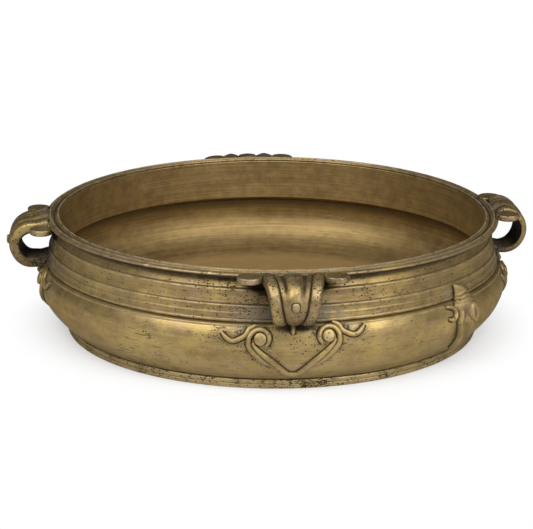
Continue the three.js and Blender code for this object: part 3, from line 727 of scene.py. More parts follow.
def smooth(points, count=PATH_POINTS):
    """Catmull-Rom curve through a row of points, at equal spacing."""
    points = np.asarray(points, float)
    ends = np.concatenate([points[:1], points, points[-1:]])
    t = np.linspace(0, len(points) - 1, PATH_FINER * count)
    index = np.minimum(t.astype(int), len(points) - 2)
    f = (t - index)[:, None]
    a, b, c, d = (ends[index + k] for k in range(4))
    bend = (2 * a - 5 * b + 4 * c - d) * f ** 2 + (3 * b - a - 3 * c + d) * f ** 3
    return even(b + 0.5 * ((c - a) * f + bend), count)


def curl_point(degrees, clear=0.0):
    """A spiral round the right boss: its radius shrinks with the exponential of the angle."""
    degrees = np.asarray(degrees, float)
    radius = CURL_RADIUS + CURL_FLARE * np.exp(-degrees / CURL_TURN) + clear
    turn = np.radians(degrees)
    return np.stack([BOSS_ACROSS + radius * np.cos(turn), BOSS_DOWN - radius * np.sin(turn)], -1)


def heart_path():
    """From beside the left boss down to the rounded tip and up to the right boss."""
    corners = np.concatenate([HEART_HALF[::-1] * MIRROR, [(0.0, HEART_TIP)], HEART_HALF])
    return smooth(corners, 2 * PATH_POINTS)


def tendril_path():
    """Hugs the curl from above, dips and then rises outwards."""
    wave = [(TENDRIL_TIP - TENDRIL_WAVE, BOSS_DOWN + TENDRIL_DIP),
            (TENDRIL_TIP - TENDRIL_WAVE / 2, BOSS_DOWN),
            (TENDRIL_TIP, BOSS_DOWN - TENDRIL_WAVE / 2)]
    return smooth(np.concatenate([curl_point(TENDRIL_HUG, TENDRIL_CLEAR), wave]))


def as_set(path, index):
    """A path as one handle's scroll was set by hand: moved across, and tilted by a share of it."""
    across = path[..., 0]
    return np.stack([across + SCROLL_SHIFT[index], path[..., 1] - SCROLL_TILT[index] * across], -1)


HEART, TENDRIL = heart_path(), tendril_path()
CURL = smooth(np.concatenate([CURL_TAIL, curl_point(np.linspace(CURL_FROM, CURL_TO, CURL_CORNERS))]))
SCROLL = np.concatenate([HEART, CURL, CURL * MIRROR, TENDRIL, TENDRIL * MIRROR])[::4]
print("scroll spans", np.round(SCROLL.min(0), 1), "to", np.round(SCROLL.max(0), 1))

# %% [markdown]
# ## The bowl
# Belly, wall and floor are one casting. Its skin runs from the middle of the underside out to the
# belly, over the shoulder, down the inside and back to the middle of the floor, all in one line, so
# that the wall has a real thickness.

# %% Bowl profile
FLOOR_THICKNESS, MIDDLE_RADIUS = 5.0, 12
FILLET_FROM, FILLET_RUN, FILLET_STEPS = 17.0, 46.0, 24
FOOT_EDGE, SEAT_EDGE = 203.0, 220.6
BELOW_SEAT = 1.5
SPACING = {"under": 12.0, "belly": 1.0, "wall": 1.8, "fillet": 2.0, "floor": 6.0}


def bowl_profile():
    """Underside, foot edge, belly, shoulder edge, inside wall as the belly moved inwards, a wide
    fillet that sweeps on into the floor, and the floor."""
    belly = belly_points[1:-1][::-1]
    wall = belly_points[1:-1] - BELLY_WALL * belly_out[1:-1]
    floor = bowl_low + FLOOR_THICKNESS
    wall = wall[(wall[:, 1] > floor + FILLET_FROM) & (wall[:, 1] < bowl_top - BELOW_SEAT)]
    fall = wall[-1] - wall[-2]
    corner = wall[-1] + fall / fall[1] * (floor - wall[-1][1])
    end = corner - (FILLET_RUN, 0)
    fillet = arc(wall[-1], corner, end, np.linspace(0, 1, FILLET_STEPS)[:, None])
    shoulder = [SHOULDER, (226.8, 67.2), (226.2, 68.1), (224.8, bowl_top), (SEAT_EDGE, bowl_top)]
    return outline(
        ([(MIDDLE_RADIUS, bowl_low), (FOOT_EDGE, bowl_low)], 0.5, SPACING["under"]),
        ([(FOOT_EDGE, bowl_low), (204.4, bowl_low + 0.5), BELLY_FOOT], 0.4, FINE),
        (belly, 0.1, SPACING["belly"]),
        (shoulder, 0.6, FINE),
        ([(SEAT_EDGE, bowl_top), (219.6, bowl_top - 0.6), wall[0]], 0.6, FINE),
        (wall, 0.1, SPACING["wall"]),
        (fillet, 0.1, SPACING["fillet"]),
        ([end, (MIDDLE_RADIUS, floor)], 0.5, SPACING["floor"]),
    )


bowl_line = bowl_profile()
bowl_along = lengths(bowl_line)[:, None]
belly_start = bowl_along[int(np.argmax(bowl_line[:, 1] > BELLY_FOOT[1] - 0.01))]
down = np.clip(belly_length - (bowl_along - belly_start), -2, belly_length + 3)
outside = (bowl_along > belly_start - 4) & (bowl_along < belly_start + belly_length + 2)
inside = bowl_along > belly_start + belly_length + 6
print("bowl profile has", len(bowl_line), "rows")

# %% [markdown]
# ## Marks on the bowl
# The belly was polished in the open and left dark beside the scrolls, behind the straps and in the
# pockets beside them, with a few clusters of pits. Behind the straps the darkness is grime and
# painted shade, a painted shadow lies beside the leaf's right edge, and the inside wall under the
# ledge is painted dark as shade. The inside is matt, and paler on the floor. Each mark is a sum of
# soft bells over the places across and down.

# %% Bowl
# Clusters of pits: angle from the front, distance down and strength
STAINS = ((-0.588, 14.9, 0.9), (-0.707, 41.8, 0.8), (-0.46, 45.7, 0.9), (-0.561, 41.6, 0.8),
          (0.535, 30.6, 0.5), (-0.235, 22.1, 1.0), (0.03, 16.5, 0.5), (-0.348, 9.8, 0.6),
          (1.3, 30.0, 0.7), (2.4, 18.0, 0.8), (3.4, 40.0, 0.8), (4.2, 22.0, 0.7), (5.0, 44.0, 0.9))
STAIN_ACROSS, STAIN_DOWN = 0.055, 5.0
LEAF_TURN = math.radians(46.3)
BELLY_BEHIND, FAR_OFF = 25, 99.0
LEDGE_SHADE = (bowl_top - 13, bowl_top - 2)
LOW_POLISH = (26.0, 44.0)
FLOOR_RADII = (-200.0, -175.0)


def scroll_distance(across, down):
    """Distance from each place on the belly to the nearest point of the scrollwork."""
    return np.minimum.reduce([np.hypot(across - x, down - y) for x, y in SCROLL])


nearest = np.mod(np.round(FRONT_ANGLES / (np.pi / 2)).astype(int), 4)
across = wrapped(FRONT_ANGLES - HANDLE_TURNS[nearest]) * SHOULDER[0] - SCROLL_SHIFT[nearest]
tilted = down + SCROLL_TILT[nearest] * across
gap = np.where(outside, scroll_distance(across[None], tilted), FAR_OFF)
pocket = bump(np.abs(across), 45.0, 13.0) * bump(down, 3.0, 8.0)
# Behind a strap: grime and grey film, with dirt and soot as painted shade
behind_strap_shade_and_grime = plateau(across, BELLY_BEHIND) * bump(down, 0.0, 6.5)
leaf_across = wrapped(FRONT_ANGLES - LEAF_TURN) * SHOULDER[0]
leaf_pocket = bump(leaf_across, -18.0, 5.0) * bump(down, 8.0, 5.5)
# Painted shadow along the leaf's right edge
leaf_shade = bump(leaf_across, 22.5, 4.0) * bump(down, 6.0, 14.0)
stained = sum(size * bump(wrapped(FRONT_ANGLES - turn), 0, STAIN_ACROSS)
              * bump(down, level, STAIN_DOWN) for turn, level, size in STAINS)
# Painted shade on the inside wall under the collar's ledge
under_ledge = step(bowl_line[:, 1:], *LEDGE_SHADE) * inside
foot_joint = bump(down, belly_length + 1.6, 1.0)
# Dirt of the belly, with painted shade behind the straps and a painted shadow beside the leaf
belly_dirt_and_shade = (0.4 * bump(gap, 4.3, 0.9) + 0.9 * foot_joint + 0.35 * behind_strap_shade_and_grime
              + 0.6 * leaf_shade + 0.14 * grime_beside)
belly_grey = 0.8 * pocket + 0.8 * leaf_pocket + 0.6 * behind_strap_shade_and_grime + 0.3 * bump(gap, 0, 4.0)
belly_wear = (0.8 * bump(down, 0.0, 0.8) + 0.5 * bump(down, belly_length - 0.6, 1.0)
              + 0.5 * step(down, *LOW_POLISH))
belly_pits = 0.55 * stained + 0.3 * pocket + 0.5 * behind_strap_shade_and_grime + 0.45 * bump(gap, 5.0, 2.5)
bowl_marks = {
    "along": walked(bowl_line),
    "dirt_and_shade": np.clip(belly_dirt_and_shade * outside + 0.7 * under_ledge, 0, 1),
    "grey": np.clip(belly_grey, 0, 1) * outside,
    "soot_and_shade": 0.7 * behind_strap_shade_and_grime * outside,
    "wear_and_highlight": belly_wear * outside,
    "pits": np.clip(belly_pits, 0, 1) * outside,
    "matte": (0.75 + 0.25 * step(-bowl_line[:, :1], *FLOOR_RADII)) * inside,
}
piece("bowl_skin", turned(bowl_line), bowl_marks, "belly_brass", "bowl")

# %% [markdown]
# ## The collar
# The collar stands on the shoulder and carries the rim. Three beads with dark grooves above them run
# round it, a faint ridge lies between the two lower ones, and above them it draws in to a deep neck
# under the rim. Inside it ends below in a ledge that overhangs the belly, and its inner top edge
# under the rim is worn pale.
# Under the lip, behind the straps, under the ears and beside the leaf it is painted dark as shade.

# %% Collar
COLLAR_FACE = [
    (12.4, 0.0), (13.1, 0.5), (13.8, 1.6), (13.6, 2.8), (12.8, 3.6), (12.5, 4.5), (11.9, 7.2),
    (11.9, 8.3), (11.4, 9.1), (11.1, 10.4), (10.9, 13.2), (11.3, 14.3), (11.1, 15.4), (10.1, 16.1),
    (9.7, 17.2), (9.0, 19.5), (7.9, 24.0), (7.7, 27.0), (8.0, 28.1), (7.8, 29.2), (6.6, 30.0),
    (5.6, 31.4), (4.3, 34.5), (4.0, 36.5), (4.6, 38.2)]
COLLAR_LIP = [(1.2, 43.9), (0.9, 44.4), (0.3, 44.4), (0.0, 43.9), (0.0, 41.0)]
COLLAR_LEDGE = [(0, 9.0), (0.0, 5.6), (0.2, 4.4), (1.2, 3.8), (8.8, 0.0)]
GROOVES, GROOVE_WIDTH = (0.0, 16.4, 30.3), 0.55
collar_profile = outline(
    (COLLAR_FACE, 0.5, FINE),
    ([COLLAR_FACE[-1], (1.2, 38.2), COLLAR_LIP[0]], 0.3, 2.0),
    (COLLAR_LIP, 0.3, 0.3),
    ([COLLAR_LIP[-1], COLLAR_LEDGE[0]], 0.4, 1.5),
    (COLLAR_LEDGE, 0.6, FINE),
    ([COLLAR_LEDGE[-1], COLLAR_FACE[0]], 0.4, 1.5),
) + (mouth, collar_low)
collar_depth = cavity(collar_profile, 1.3)[:, None]
collar_level = collar_profile[:, 1:] - collar_low
collar_out = collar_profile[:, :1] - mouth
face = step(collar_out, 2.0, 3.4)
inner = 1 - step(collar_out, 0.5, 1.0)
grooves = sum(bump(collar_level, level, GROOVE_WIDTH) for level in GROOVES)
grooves = grooves + 0.6 * bump(collar_level, 3.8, 0.5)
# Painted shadow under the rim's lip, with some grime
under_rim = step(collar_level, 34.2, 36.8) * face
under_ear = step(collar_level, 20.0, 30.0) * face
upper = step(collar_level, 12.0, 34.0) * face
# Painted shadow under the ears
ear_shade = grime_under * step(collar_level, 20.0, 36.0) * face
low_film = bump(collar_level, 7.0, 5.0)
# Painted shadow beside the leaf's right edge
leaf_side_shadow = bump(leaf_across + 0.9 * collar_level, 22.0, 4.0) * bump(collar_level, 6.0, 8.0) * face
seat_dirt = (1 - face) * step(-collar_level, -4.0, -1.5)
collar_marks = {
    "along": walked(collar_profile),
    "dirt_and_shade": np.clip(0.85 * grooves * face + 0.7 * under_rim + 0.5 * shade_and_grime_behind * face
                    + 0.22 * grime_beside * face + 0.7 * leaf_side_shadow + 0.8 * seat_dirt, 0, 1),
    "soot_and_shade": np.clip(0.75 * shade_and_grime_behind * under_ear + 0.40 * under_rim
                    + 0.40 * grime_beside * upper + 0.60 * ear_shade, 0, 1),
    "wear_and_highlight": (np.clip(-collar_depth / 0.45, 0, 0.6) * face
             + 0.7 * bump(collar_level, 44.2, 0.3) * inner),
    "grey": np.clip((0.55 * low_film * grime_beside + 0.9 * bump(collar_level, 8.0, 11.0) * grime_root
                     + 0.9 * bump(leaf_across, -14.0, 5.0) * low_film) * face, 0, 1),
    "pits": np.clip((0.75 * grime_beside * (0.4 + 0.6 * upper) + 0.12) * face, 0, 1),
    "matte": 0.6 * inner,
}
piece("collar_skin", turned(collar_profile), collar_marks, "band_brass", "collar", ring=True)

# %% [markdown]
# ## The rim
# The rim is a stepped ring: a narrow rounded lip over a deep undercut, and two low ridges that hands
# and lids have rubbed pale. Between the ridges it is dark brown. A few nicks in the lip show bright
# metal. They are pressed into the turned grid, as knocks are into a turned ring.
# The undercut below the lip is painted dark: grime and painted shade.

# %% Rim
# Nicks: angle from the front and strength
NICKS = ((-0.62, 1.0), (-0.52, 0.6), (-0.34, 0.8), (0.71, 0.7), (1.9, 0.9), (2.6, 0.7), (4.1, 1.0))
NICK_WIDTH, NICK_DEPTH = 0.008, 0.8
RIM_FACE = [
    (4.6, 0.0), (6.2, 0.6), (8.6, 2.2), (10.6, 3.6), (12.0, 4.2), (13.0, 4.6), (13.5, 5.2),
    (13.4, 5.9), (12.8, 6.5), (11.6, 7.1), (10.6, 7.5), (10.1, 8.1), (9.4, 8.5), (8.6, 8.3),
    (8.0, 7.0), (7.4, 6.4), (5.2, 6.0), (3.2, 6.5), (2.4, 8.1), (1.6, 8.5), (0.8, 8.2), (0.3, 7.2),
    (0.5, 6.3), (1.5, 6.0)]
rim_profile = outline(
    (RIM_FACE, 0.5, 0.35),
    ([RIM_FACE[-1], (1.5, 0.0), RIM_FACE[0]], 0.4, 2.0),
) + (mouth, rim_low)
rim_out = rim_profile[:, :1] - mouth
rim_level = rim_profile[:, 1:] - rim_low
nick = sum(size * bump(wrapped(FRONT_ANGLES - turn), 0, NICK_WIDTH) for turn, size in NICKS)
edge = step(rim_out, 11.4, 12.8) * step(rim_level, 4.6, 5.4)
crests = step(rim_level, 7.95, 8.35)
# Painted shade in the undercut under the lip, with some grime
undercut = step(-rim_level, -4.5, -3.4) * step(rim_out, 3, 5)
trough = bump(rim_out, 5.2, 2.2) * step(rim_level, 5, 6)
crest_foot = bump(rim_out, 11.0, 0.5) * step(rim_level, 6, 7)
rim_grid = turned(rim_profile)
rim_grid[..., :2] *= 1 - (nick * edge * NICK_DEPTH / rim_radius)[..., None]
rim_marks = {
    "along": walked(rim_profile),
    "dirt_and_shade": np.clip(0.9 * undercut + trough + 0.4 * crest_foot, 0, 1),
    "wear_and_highlight": np.clip(0.9 * crests + (0.12 + nick) * edge, 0, 1),
    "pits": np.clip(0.5 * grime_beside * step(rim_out, 9.5, 11.5) + 0.1, 0, 1),
}
piece("rim_skin", rim_grid, rim_marks, "rim_brass", "rim_ring", ring=True)

# %% [markdown]
# ## The strap handles
# Each handle is a strap bent into a loop from the rim down to the shoulder. All four were bent and
# set by hand: the right one is thinner and arched over its top, the right and left ones hang lower,
# and the back one has peaked ribs. A loop is a half circle between two straight runs, so a section
# can be carried along it by its distance from the rim.

# %% Loop of a handle
LOOP_RADIUS, STRAP_THICKNESS, STRAP_ROOT = 17.8, 10.5, 4.5
STRAP_WIDTH_TOP, STRAP_WIDTH_END = 59.0, 29.0
RIB_WIDTH, RIB_HEIGHT, RIB_END = 10.5, 2.8, 5.0
STRAP_BED = STRAP_THICKNESS / 2 - RIB_HEIGHT
ROOT_RADIUS, NECK_RADIUS = 220.2, 215.5
BEND = np.pi * LOOP_RADIUS
LEVEL = 93.55
AS_FRONT = {"thin": 0.0, "arched": 0.0, "lowered": 0.0, "peaked": 0.0}
SET_BY_HAND = {"right": {"thin": 4.5, "arched": 2.6, "lowered": 1.7}, "left": {"lowered": 2.4},
               "back": {"peaked": 1.0}}
ARCH_FROM, ARCH_FADE, LOWER_RANGE = (0, 8), (0.05, 0.55), (0.5, 0.9)


def handle_loop(handle):
    """Middle of the loop's half circle (out, up), read from where the CAD strap stands furthest out
    and lowest, with the length of the straight root and of the whole loop. The back strap stands
    askew to its box, so the front one is read for it."""
    place = "front" if handle == "back" else handle
    low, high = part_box(f"{place}_handle_strap")
    reach = {"front": -low.y, "right": high.x, "left": -low.x}[place] / MM
    outer = LOOP_RADIUS + STRAP_THICKNESS / 2
    middle = np.array([reach - outer, low.z / MM + outer])
    root = middle[0] - ROOT_RADIUS
    return {"middle": middle, "root": root, "length": root + BEND + middle[0] - NECK_RADIUS,
            "sag": LEVEL - middle[1], **AS_FRONT, **SET_BY_HAND.get(handle, {})}


def on_loop(loop, distance, across, outwards):
    """Place of a point of the section: straight out from the rim, round a half circle, straight back.
    The strap bends round the vessel too, by the square of across over twice the rim's radius, and is
    arched over its top and lowered at its bottom by soft steps."""
    past = distance - loop["root"]
    turn = np.pi / 2 - np.pi * np.clip(past / BEND, 0, 1)
    reach = LOOP_RADIUS + outwards
    straight = np.minimum(past, 0)
    out = loop["middle"][0] + reach * np.cos(turn) + straight - np.maximum(past - BEND, 0)
    up = loop["middle"][1] + reach * np.sin(turn) - loop["sag"] * straight / loop["root"]
    out = out - across ** 2 / (2 * rim_radius)
    up = up + loop["arched"] * step(distance, *ARCH_FROM) * (1 - step(past / BEND, *ARCH_FADE))
    up = up - loop["lowered"] * step(past / BEND, *LOWER_RANGE)
    return xyz(across, -out, up)


def at_handle(grid, turn):
    """Turns a grid about the upright axis."""
    c, s = math.cos(turn), math.sin(turn)
    x, y, z = np.moveaxis(grid, -1, 0)
    return xyz(c * x - s * y, s * x + c * y, z)


LOOPS = {place: handle_loop(place) for place in HANDLE_PLACES}
for place, loop in LOOPS.items():
    print(place, "loop stands out to", round(float(loop["middle"][0] + LOOP_RADIUS), 1))

# %% [markdown]
# ## Straps
# The outside of a strap has a round rib along each edge, with a flat channel between them. The ribs
# spread towards the lower end. Hands polish the ribs, and the inside of the loop is black with old
# soot and painted shade, as is the top of the root under the ears. One section is drawn as shares of
# the strap's width and thickness and carried along the loop.

# %% Section of a strap
STATIONS, STATION_POWER, TOP_POINTS = 120, 1.15, 97
SIDE_LEVELS = np.array([0.8, 0.55, 0.3, 0.14])
CORNER_X, CORNER_T = np.array([0.985, 0.97]), np.array([0.05, 0.015])
BOTTOM = np.linspace(-0.955, 0.955, 15)
SIDE_X, SIDE_T = np.concatenate([np.ones(4), CORNER_X]), np.concatenate([SIDE_LEVELS, CORNER_T])
STRAP_X = np.concatenate([np.linspace(1, -1, TOP_POINTS), -SIDE_X, BOTTOM, SIDE_X[::-1]])
STRAP_T = np.concatenate([np.ones(TOP_POINTS), SIDE_T, 0 * BOTTOM, SIDE_T[::-1]])
STRAP_ON_TOP = (np.arange(len(STRAP_X)) < TOP_POINTS).astype(float)
LOWER_ROOT, LOWER_FROM, LOWER_TO = 3.0, 16.0, 3.0
RIB_SPREAD, SPREAD_RANGE = 1.8, (0.45, 0.8)
RIB_PEAKED, PEAK_RANGE = 7.5, (0.1, 0.5)
RIB_POWER, PEAK_POWER, RIB_ROOT, PEAK_ROOT = 2.6, 1.2, 0.5, 0.4
HEAD_DROP, VALLEY = 0.8, 0.9


def strap_half(loop, distance):
    """Half the strap's width: it narrows evenly from the rim to the shoulder."""
    share = distance / loop["length"]
    return (STRAP_WIDTH_TOP + (STRAP_WIDTH_END - STRAP_WIDTH_TOP) * share) / 2


def rib_width(loop, distance):
    """Width of a rib: it spreads towards the lower end, and a peaked one is wide at the rim."""
    share = distance / loop["length"]
    peaked = RIB_PEAKED * loop["peaked"] * (1 - step(share, *PEAK_RANGE))
    return RIB_WIDTH + RIB_SPREAD * step(share, *SPREAD_RANGE) + peaked


def round_head(distance):
    """A quarter circle from 0 at the rim to 1 where the ribs have their full height."""
    return np.sqrt(1 - (1 - np.clip(distance / RIB_END, 0, 1)) ** 2)


# %% Straps
def strap_skin(loop):
    """Section: X across as a share of the half width, T from the inside (0) to the foot of the ribs
    (1). Over the outside each rib is half a rounded ellipse, or a peak, and the channel between them
    is flat. The inside is hollowed at the root by the rim and thickened at the lower root."""
    x, t, on_top = STRAP_X, STRAP_T, STRAP_ON_TOP
    distance = np.linspace(0, 1, STATIONS)[:, None] ** STATION_POWER * loop["length"]
    half = strap_half(loop, distance)
    across = half * x
    from_edge = half - np.abs(across)
    wide = rib_width(loop, distance)
    power = RIB_POWER - PEAK_POWER * loop["peaked"]
    rib = np.clip(1 - np.abs(2 * from_edge / wide - 1) ** power, 0, 1)
    rib = rib ** (RIB_ROOT + PEAK_ROOT * loop["peaked"])
    head = round_head(distance)
    root = np.clip(1 - distance / loop["root"], 0, 1)
    inner = -STRAP_THICKNESS / 2 + np.maximum(root * (STRAP_THICKNESS - STRAP_ROOT), loop["thin"])
    to_end = loop["length"] - LOWER_FROM, loop["length"] - LOWER_TO
    inner = inner - LOWER_ROOT * step(distance, *to_end)
    outwards = inner + (STRAP_BED - HEAD_DROP * (1 - head) - inner) * t
    outwards = outwards + RIB_HEIGHT * rib * head * on_top
    valley = bump(from_edge, wide, VALLEY) * on_top
    channel = step(from_edge, wide, wide + 0.5) * on_top
    share = distance / loop["length"]
    low = step(share, 0.70, 0.86)
    # Painted shade on the inside of the loop
    under = (1 - on_top) * step(1 - t, 0.62, 0.9)
    marks = {
        # Grime in the valleys and the channel; painted shade on the inside face of the loop
        "dirt_and_shade": np.clip(np.maximum(valley, channel) + 0.6 * (1 - head) * on_top + 0.35 * low * on_top
                        + 0.4 * (1 - on_top) * step(1 - t, 0.4, 0.8), 0, 1),
        # Soot and painted shade inside the loop, and a painted shadow on the root under the ears
        "soot_and_shade": np.clip(under * (1 - 0.75 * step(share, 0.55, 0.78))
                        + 0.8 * (1 - step(distance, 1.0, 5.0)) * on_top, 0, 1),
        "wear_and_highlight": 0.3 * step(rib, 0.80, 1.0) * on_top * step(distance, 8, 20) * (1 - low),
        "grey": np.clip(0.95 * low + 0.5 * (1 - step(distance, 4, 14)), 0, 1),
        "pits": 0.25 + 0.45 * low,
    }
    return on_loop(loop, distance, across, outwards), marks


def on_each_handle(skin, part):
    """Makes one piece of every handle from its loop and turns it to its place."""
    for place, turn in HANDLES:
        grid, marks = skin(LOOPS[place])
        node = f"{place}_handle_{part}"
        piece(f"{place}_{part}_skin", at_handle(grid, turn), marks, "handle_brass", node)


on_each_handle(strap_skin, "strap")

# %% [markdown]
# ## Tongues
# The tongue is a crowned leaf between the ribs. At the rim it has a raised middle with a flute on
# each side, further down it is smooth and catches the light, and it ends in a round tip with a thin
# tail. On the back handle it is peaked and has no flutes. It follows the same loop as the strap.

# %% Tongue
TONGUE_GAP, TONGUE_CROWN, TONGUE_EDGE, TONGUE_SUNK = 0.5, 2.7, 1.3, 0.4
FLUTE_DEPTH, FLUTE_PLACE, FLUTE_WIDTH, FLUTE_FADE = 2.6, 0.58, 0.22, (20.0, 44.0)
HEAD_END, HEAD_DIP, HEAD_RISE = 17.0, 0.7, 0.35
TIP_FROM, TIP_TO, TIP_POWER, TAIL = 54.0, 67.0, 2.2, 1.3
CROWN_POWER, CROWN_PEAKED, EDGE_POWER = 2, 0.8, 10
TONGUE_START, TONGUE_TOP = 0.6, 65
TONGUE_X = np.concatenate([np.linspace(1, -1, TONGUE_TOP), np.linspace(-0.98, 0.98, 9)])
TONGUE_ON_TOP = (np.arange(len(TONGUE_X)) < TONGUE_TOP).astype(float)


def tongue_skin(loop):
    """Section: crown falls to the edges with the square of X, or more sharply on a peaked one, less
    a bell-shaped flute each side that fades away from the rim. The half width follows the channel
    and ends in half an ellipse."""
    x, on_top = TONGUE_X, TONGUE_ON_TOP
    distance = np.linspace(TONGUE_START, loop["length"], STATIONS)[:, None]
    channel = strap_half(loop, distance) - rib_width(loop, distance) - TONGUE_GAP
    tip = np.clip((distance - TIP_FROM) / (TIP_TO - TIP_FROM), 0, 1)
    half = TAIL + (np.maximum(channel, TAIL) - TAIL) * np.sqrt(1 - tip ** TIP_POWER)
    edge_round = np.sqrt(np.clip(1 - x ** EDGE_POWER, 0, 1))
    fall = np.abs(x) ** (CROWN_POWER - CROWN_PEAKED * loop["peaked"])
    crown = TONGUE_EDGE + (TONGUE_CROWN - TONGUE_EDGE) * (1 - fall)
    fade = (1 - step(distance, *FLUTE_FADE)) * (1 - loop["peaked"])
    flute = FLUTE_DEPTH * fade * bump(np.abs(x), FLUTE_PLACE, FLUTE_WIDTH)
    flute = flute + HEAD_DIP * bump(distance, HEAD_END, 2.0) * bump(x, 0, 0.3)
    head = HEAD_RISE + (1 - HEAD_RISE) * round_head(distance)
    rise = (crown - flute) * edge_round * head
    outwards = STRAP_BED - TONGUE_SUNK + (rise + TONGUE_SUNK) * on_top
    in_flute = lambda width: fade * bump(np.abs(x), FLUTE_PLACE, width)
    marks = {
        "dirt_and_shade": np.clip(bump(np.abs(x), 1.0, 0.07) * on_top + 0.9 * in_flute(0.17)
                        + 0.6 * bump(distance, HEAD_END, 1.2) * bump(x, 0, 0.35)
                        + step(tip, 0.85, 1.0) * 0.7 + (1 - on_top), 0, 1),
        "wear_and_highlight": 0.12 * bump(x, 0, 0.5) * step(distance, 20, 30) * (1 - tip) * on_top,
        "soot_and_shade": 0.75 * in_flute(0.12) * on_top,
        "grey": 0.5 * step(tip, 0.3, 0.95) + 0.5 * (1 - step(distance, 3, 12)),
        "pits": 0.1 + 0.3 * tip,
    }
    return on_loop(loop, distance, half * x, outwards), marks


on_each_handle(tongue_skin, "tongue")

# %% [markdown]
# ## Studs
# An oval stud sits on the tongue where the loop stands furthest out, like the head of a rivet. It is
# a stack of rounded oblongs, with a dark skirt of grime and painted shadow round its foot, and a top
# rubbed pale and painted as a highlight.

# %% Stud
STUD_WIDTH, STUD_LENGTH, STUD_HEIGHT = 7.2, 8.8, 2.1
# Rings of the stud: share of its width, and level as a share of its height
STUD_PROFILE = np.array([(0.2, -1.5), (1.16, -1.5), (1.18, -0.1), (1.0, 0.05), (1.0, 0.35),
                         (0.95, 0.68), (0.84, 0.88), (0.62, 0.98), (0.3, 1.0)])
STUD_SIDES, STUD_RINGS, STUD_SQUARE, STUD_CURVE = 40, 32, 0.75, 50
TONGUE_REACH = LOOP_RADIUS + STRAP_BED + TONGUE_CROWN


def stud_skin(loop):
    """Rings of a rounded oblong (a superellipse), drawn in over a domed top, square to the tongue
    and curved with it by the square of the height."""
    line = even(STUD_PROFILE, STUD_RINGS)
    wide, level = line[:, :1], line[:, 1:]
    turn = full_turn(STUD_SIDES)
    square = lambda wave: np.sign(wave) * np.abs(wave) ** STUD_SQUARE
    across = STUD_WIDTH / 2 * wide * square(np.cos(turn))
    up = STUD_LENGTH / 2 * wide * square(np.sin(turn))
    out = loop["middle"][0] + TONGUE_REACH + STUD_HEIGHT * level - up ** 2 / STUD_CURVE
    # Dark foot: grime and painted shadow; pale top: wear and painted highlight
    marks = {"dirt_and_shade": step(-level, -0.4, 0.0), "wear_and_highlight": 0.7 * step(level, 0.6, 0.95), "pits": 0.1}
    return xyz(across, -out, loop["middle"][1] + up), marks


on_each_handle(stud_skin, "stud")

# %% [markdown]
# ## Ears
# A flat round ear lies on each side of a strap's root, against the rim's edge. Its top is a little
# dished and dark, and its outer edge is rubbed pale. Each was set by hand, so it is lifted, moved
# out and tilted by amounts of its own. A disc is turned about its own upright axis.
# The lower edge and the underside of an ear are painted dark as shadow.

# %% Ears
EAR_RADIUS, EAR_OUTSET, EAR_TOP = 11.5, 7.5, 115.2
# How each ear was set: lifted, moved out and tilted down at its far end
EAR_SET = {
    "front": {"left": (0.0, 0.0, 0.0), "right": (0.0, 0.0, 0.0)},
    "right": {"left": (4.2, 1.2, 0.0), "right": (1.9, -3.0, 0.0)},
    "back": {"left": (-0.6, 0.0, 0.8), "right": (-0.2, 0.0, 2.6)},
    "left": {"left": (-3.4, 3.0, 0.0), "right": (-4.0, 0.0, 0.0)},
}
EAR_TUCKS = {"front": 1.5, "right": 1.5, "back": 4.0, "left": 1.5}
EAR_SIDES, EAR_RINGS = 72, 70
EAR_PROFILE = [(0.8, -6.0), (9.9, -6.0), (11.0, -5.4), (11.4, -4.6), (11.4, -1.4), (11.1, -0.4),
               (10.3, 0.0), (9.4, -0.1), (8.4, -0.4), (0.8, -0.5)]
SIDES = {"left": -1, "right": 1}


def ear_skin(side, tuck, lift, outset, tilt):
    """Profile of a dished disc carried round the ear's own axis, then tucked against the strap,
    lifted, moved out and tilted down at its far end, as it was set."""
    line = even(eased(EAR_PROFILE, 0.7), EAR_RINGS)
    radius, level = line[:, :1], line[:, 1:]
    turn = full_turn(EAR_SIDES)
    across = side * (STRAP_WIDTH_TOP / 2 + EAR_RADIUS - tuck)
    out = math.sqrt((rim_radius + EAR_OUTSET + outset) ** 2 - across ** 2)
    aside = radius * np.cos(turn)
    dip = tilt * (1 + side * aside / EAR_RADIUS) / 2
    grid = xyz(across + aside, -out + radius * np.sin(turn), EAR_TOP + lift + level - dip)
    lip = bump(radius, 10.5, 0.6) * step(level, -1.0, -0.2)
    rubbed = np.clip(0.35 * lip + 0.2 * step(radius, 10.6, 11.3), 0, 1)
    marks = {
        "along": walked(line),
        "wear_and_highlight": rubbed * (0.6 - 0.4 * np.sin(turn)),
        # Dark dish on top; the lower edge and underside are painted dark as shadow
        "dirt_and_shade": 0.55 * step(-radius, -9.4, -8.2) + 0.5 * step(-level, 4.6, 5.6),
        "soot_and_shade": 0.8 * step(-level, 5.2, 5.9),
        "pits": 0.6,
    }
    return grid, marks


for place, turn in HANDLES:
    for hand, side in SIDES.items():
        grid, marks = ear_skin(side, EAR_TUCKS[place], *EAR_SET[place][hand])
        node = f"{place}_handle_ear_{hand}"
        piece(f"{place}_ear_{hand}_skin", at_handle(grid, turn), marks, "rim_brass", node)

# %% [markdown]
# ## Scrollwork
# The heart, curls, tendrils and drops are round-backed strands soldered to the belly. A D-shaped
# section is carried along each path, and a thin skirt of grime at its foot gives the dark line that
# such joints always have. The strand's back is rubbed pale.

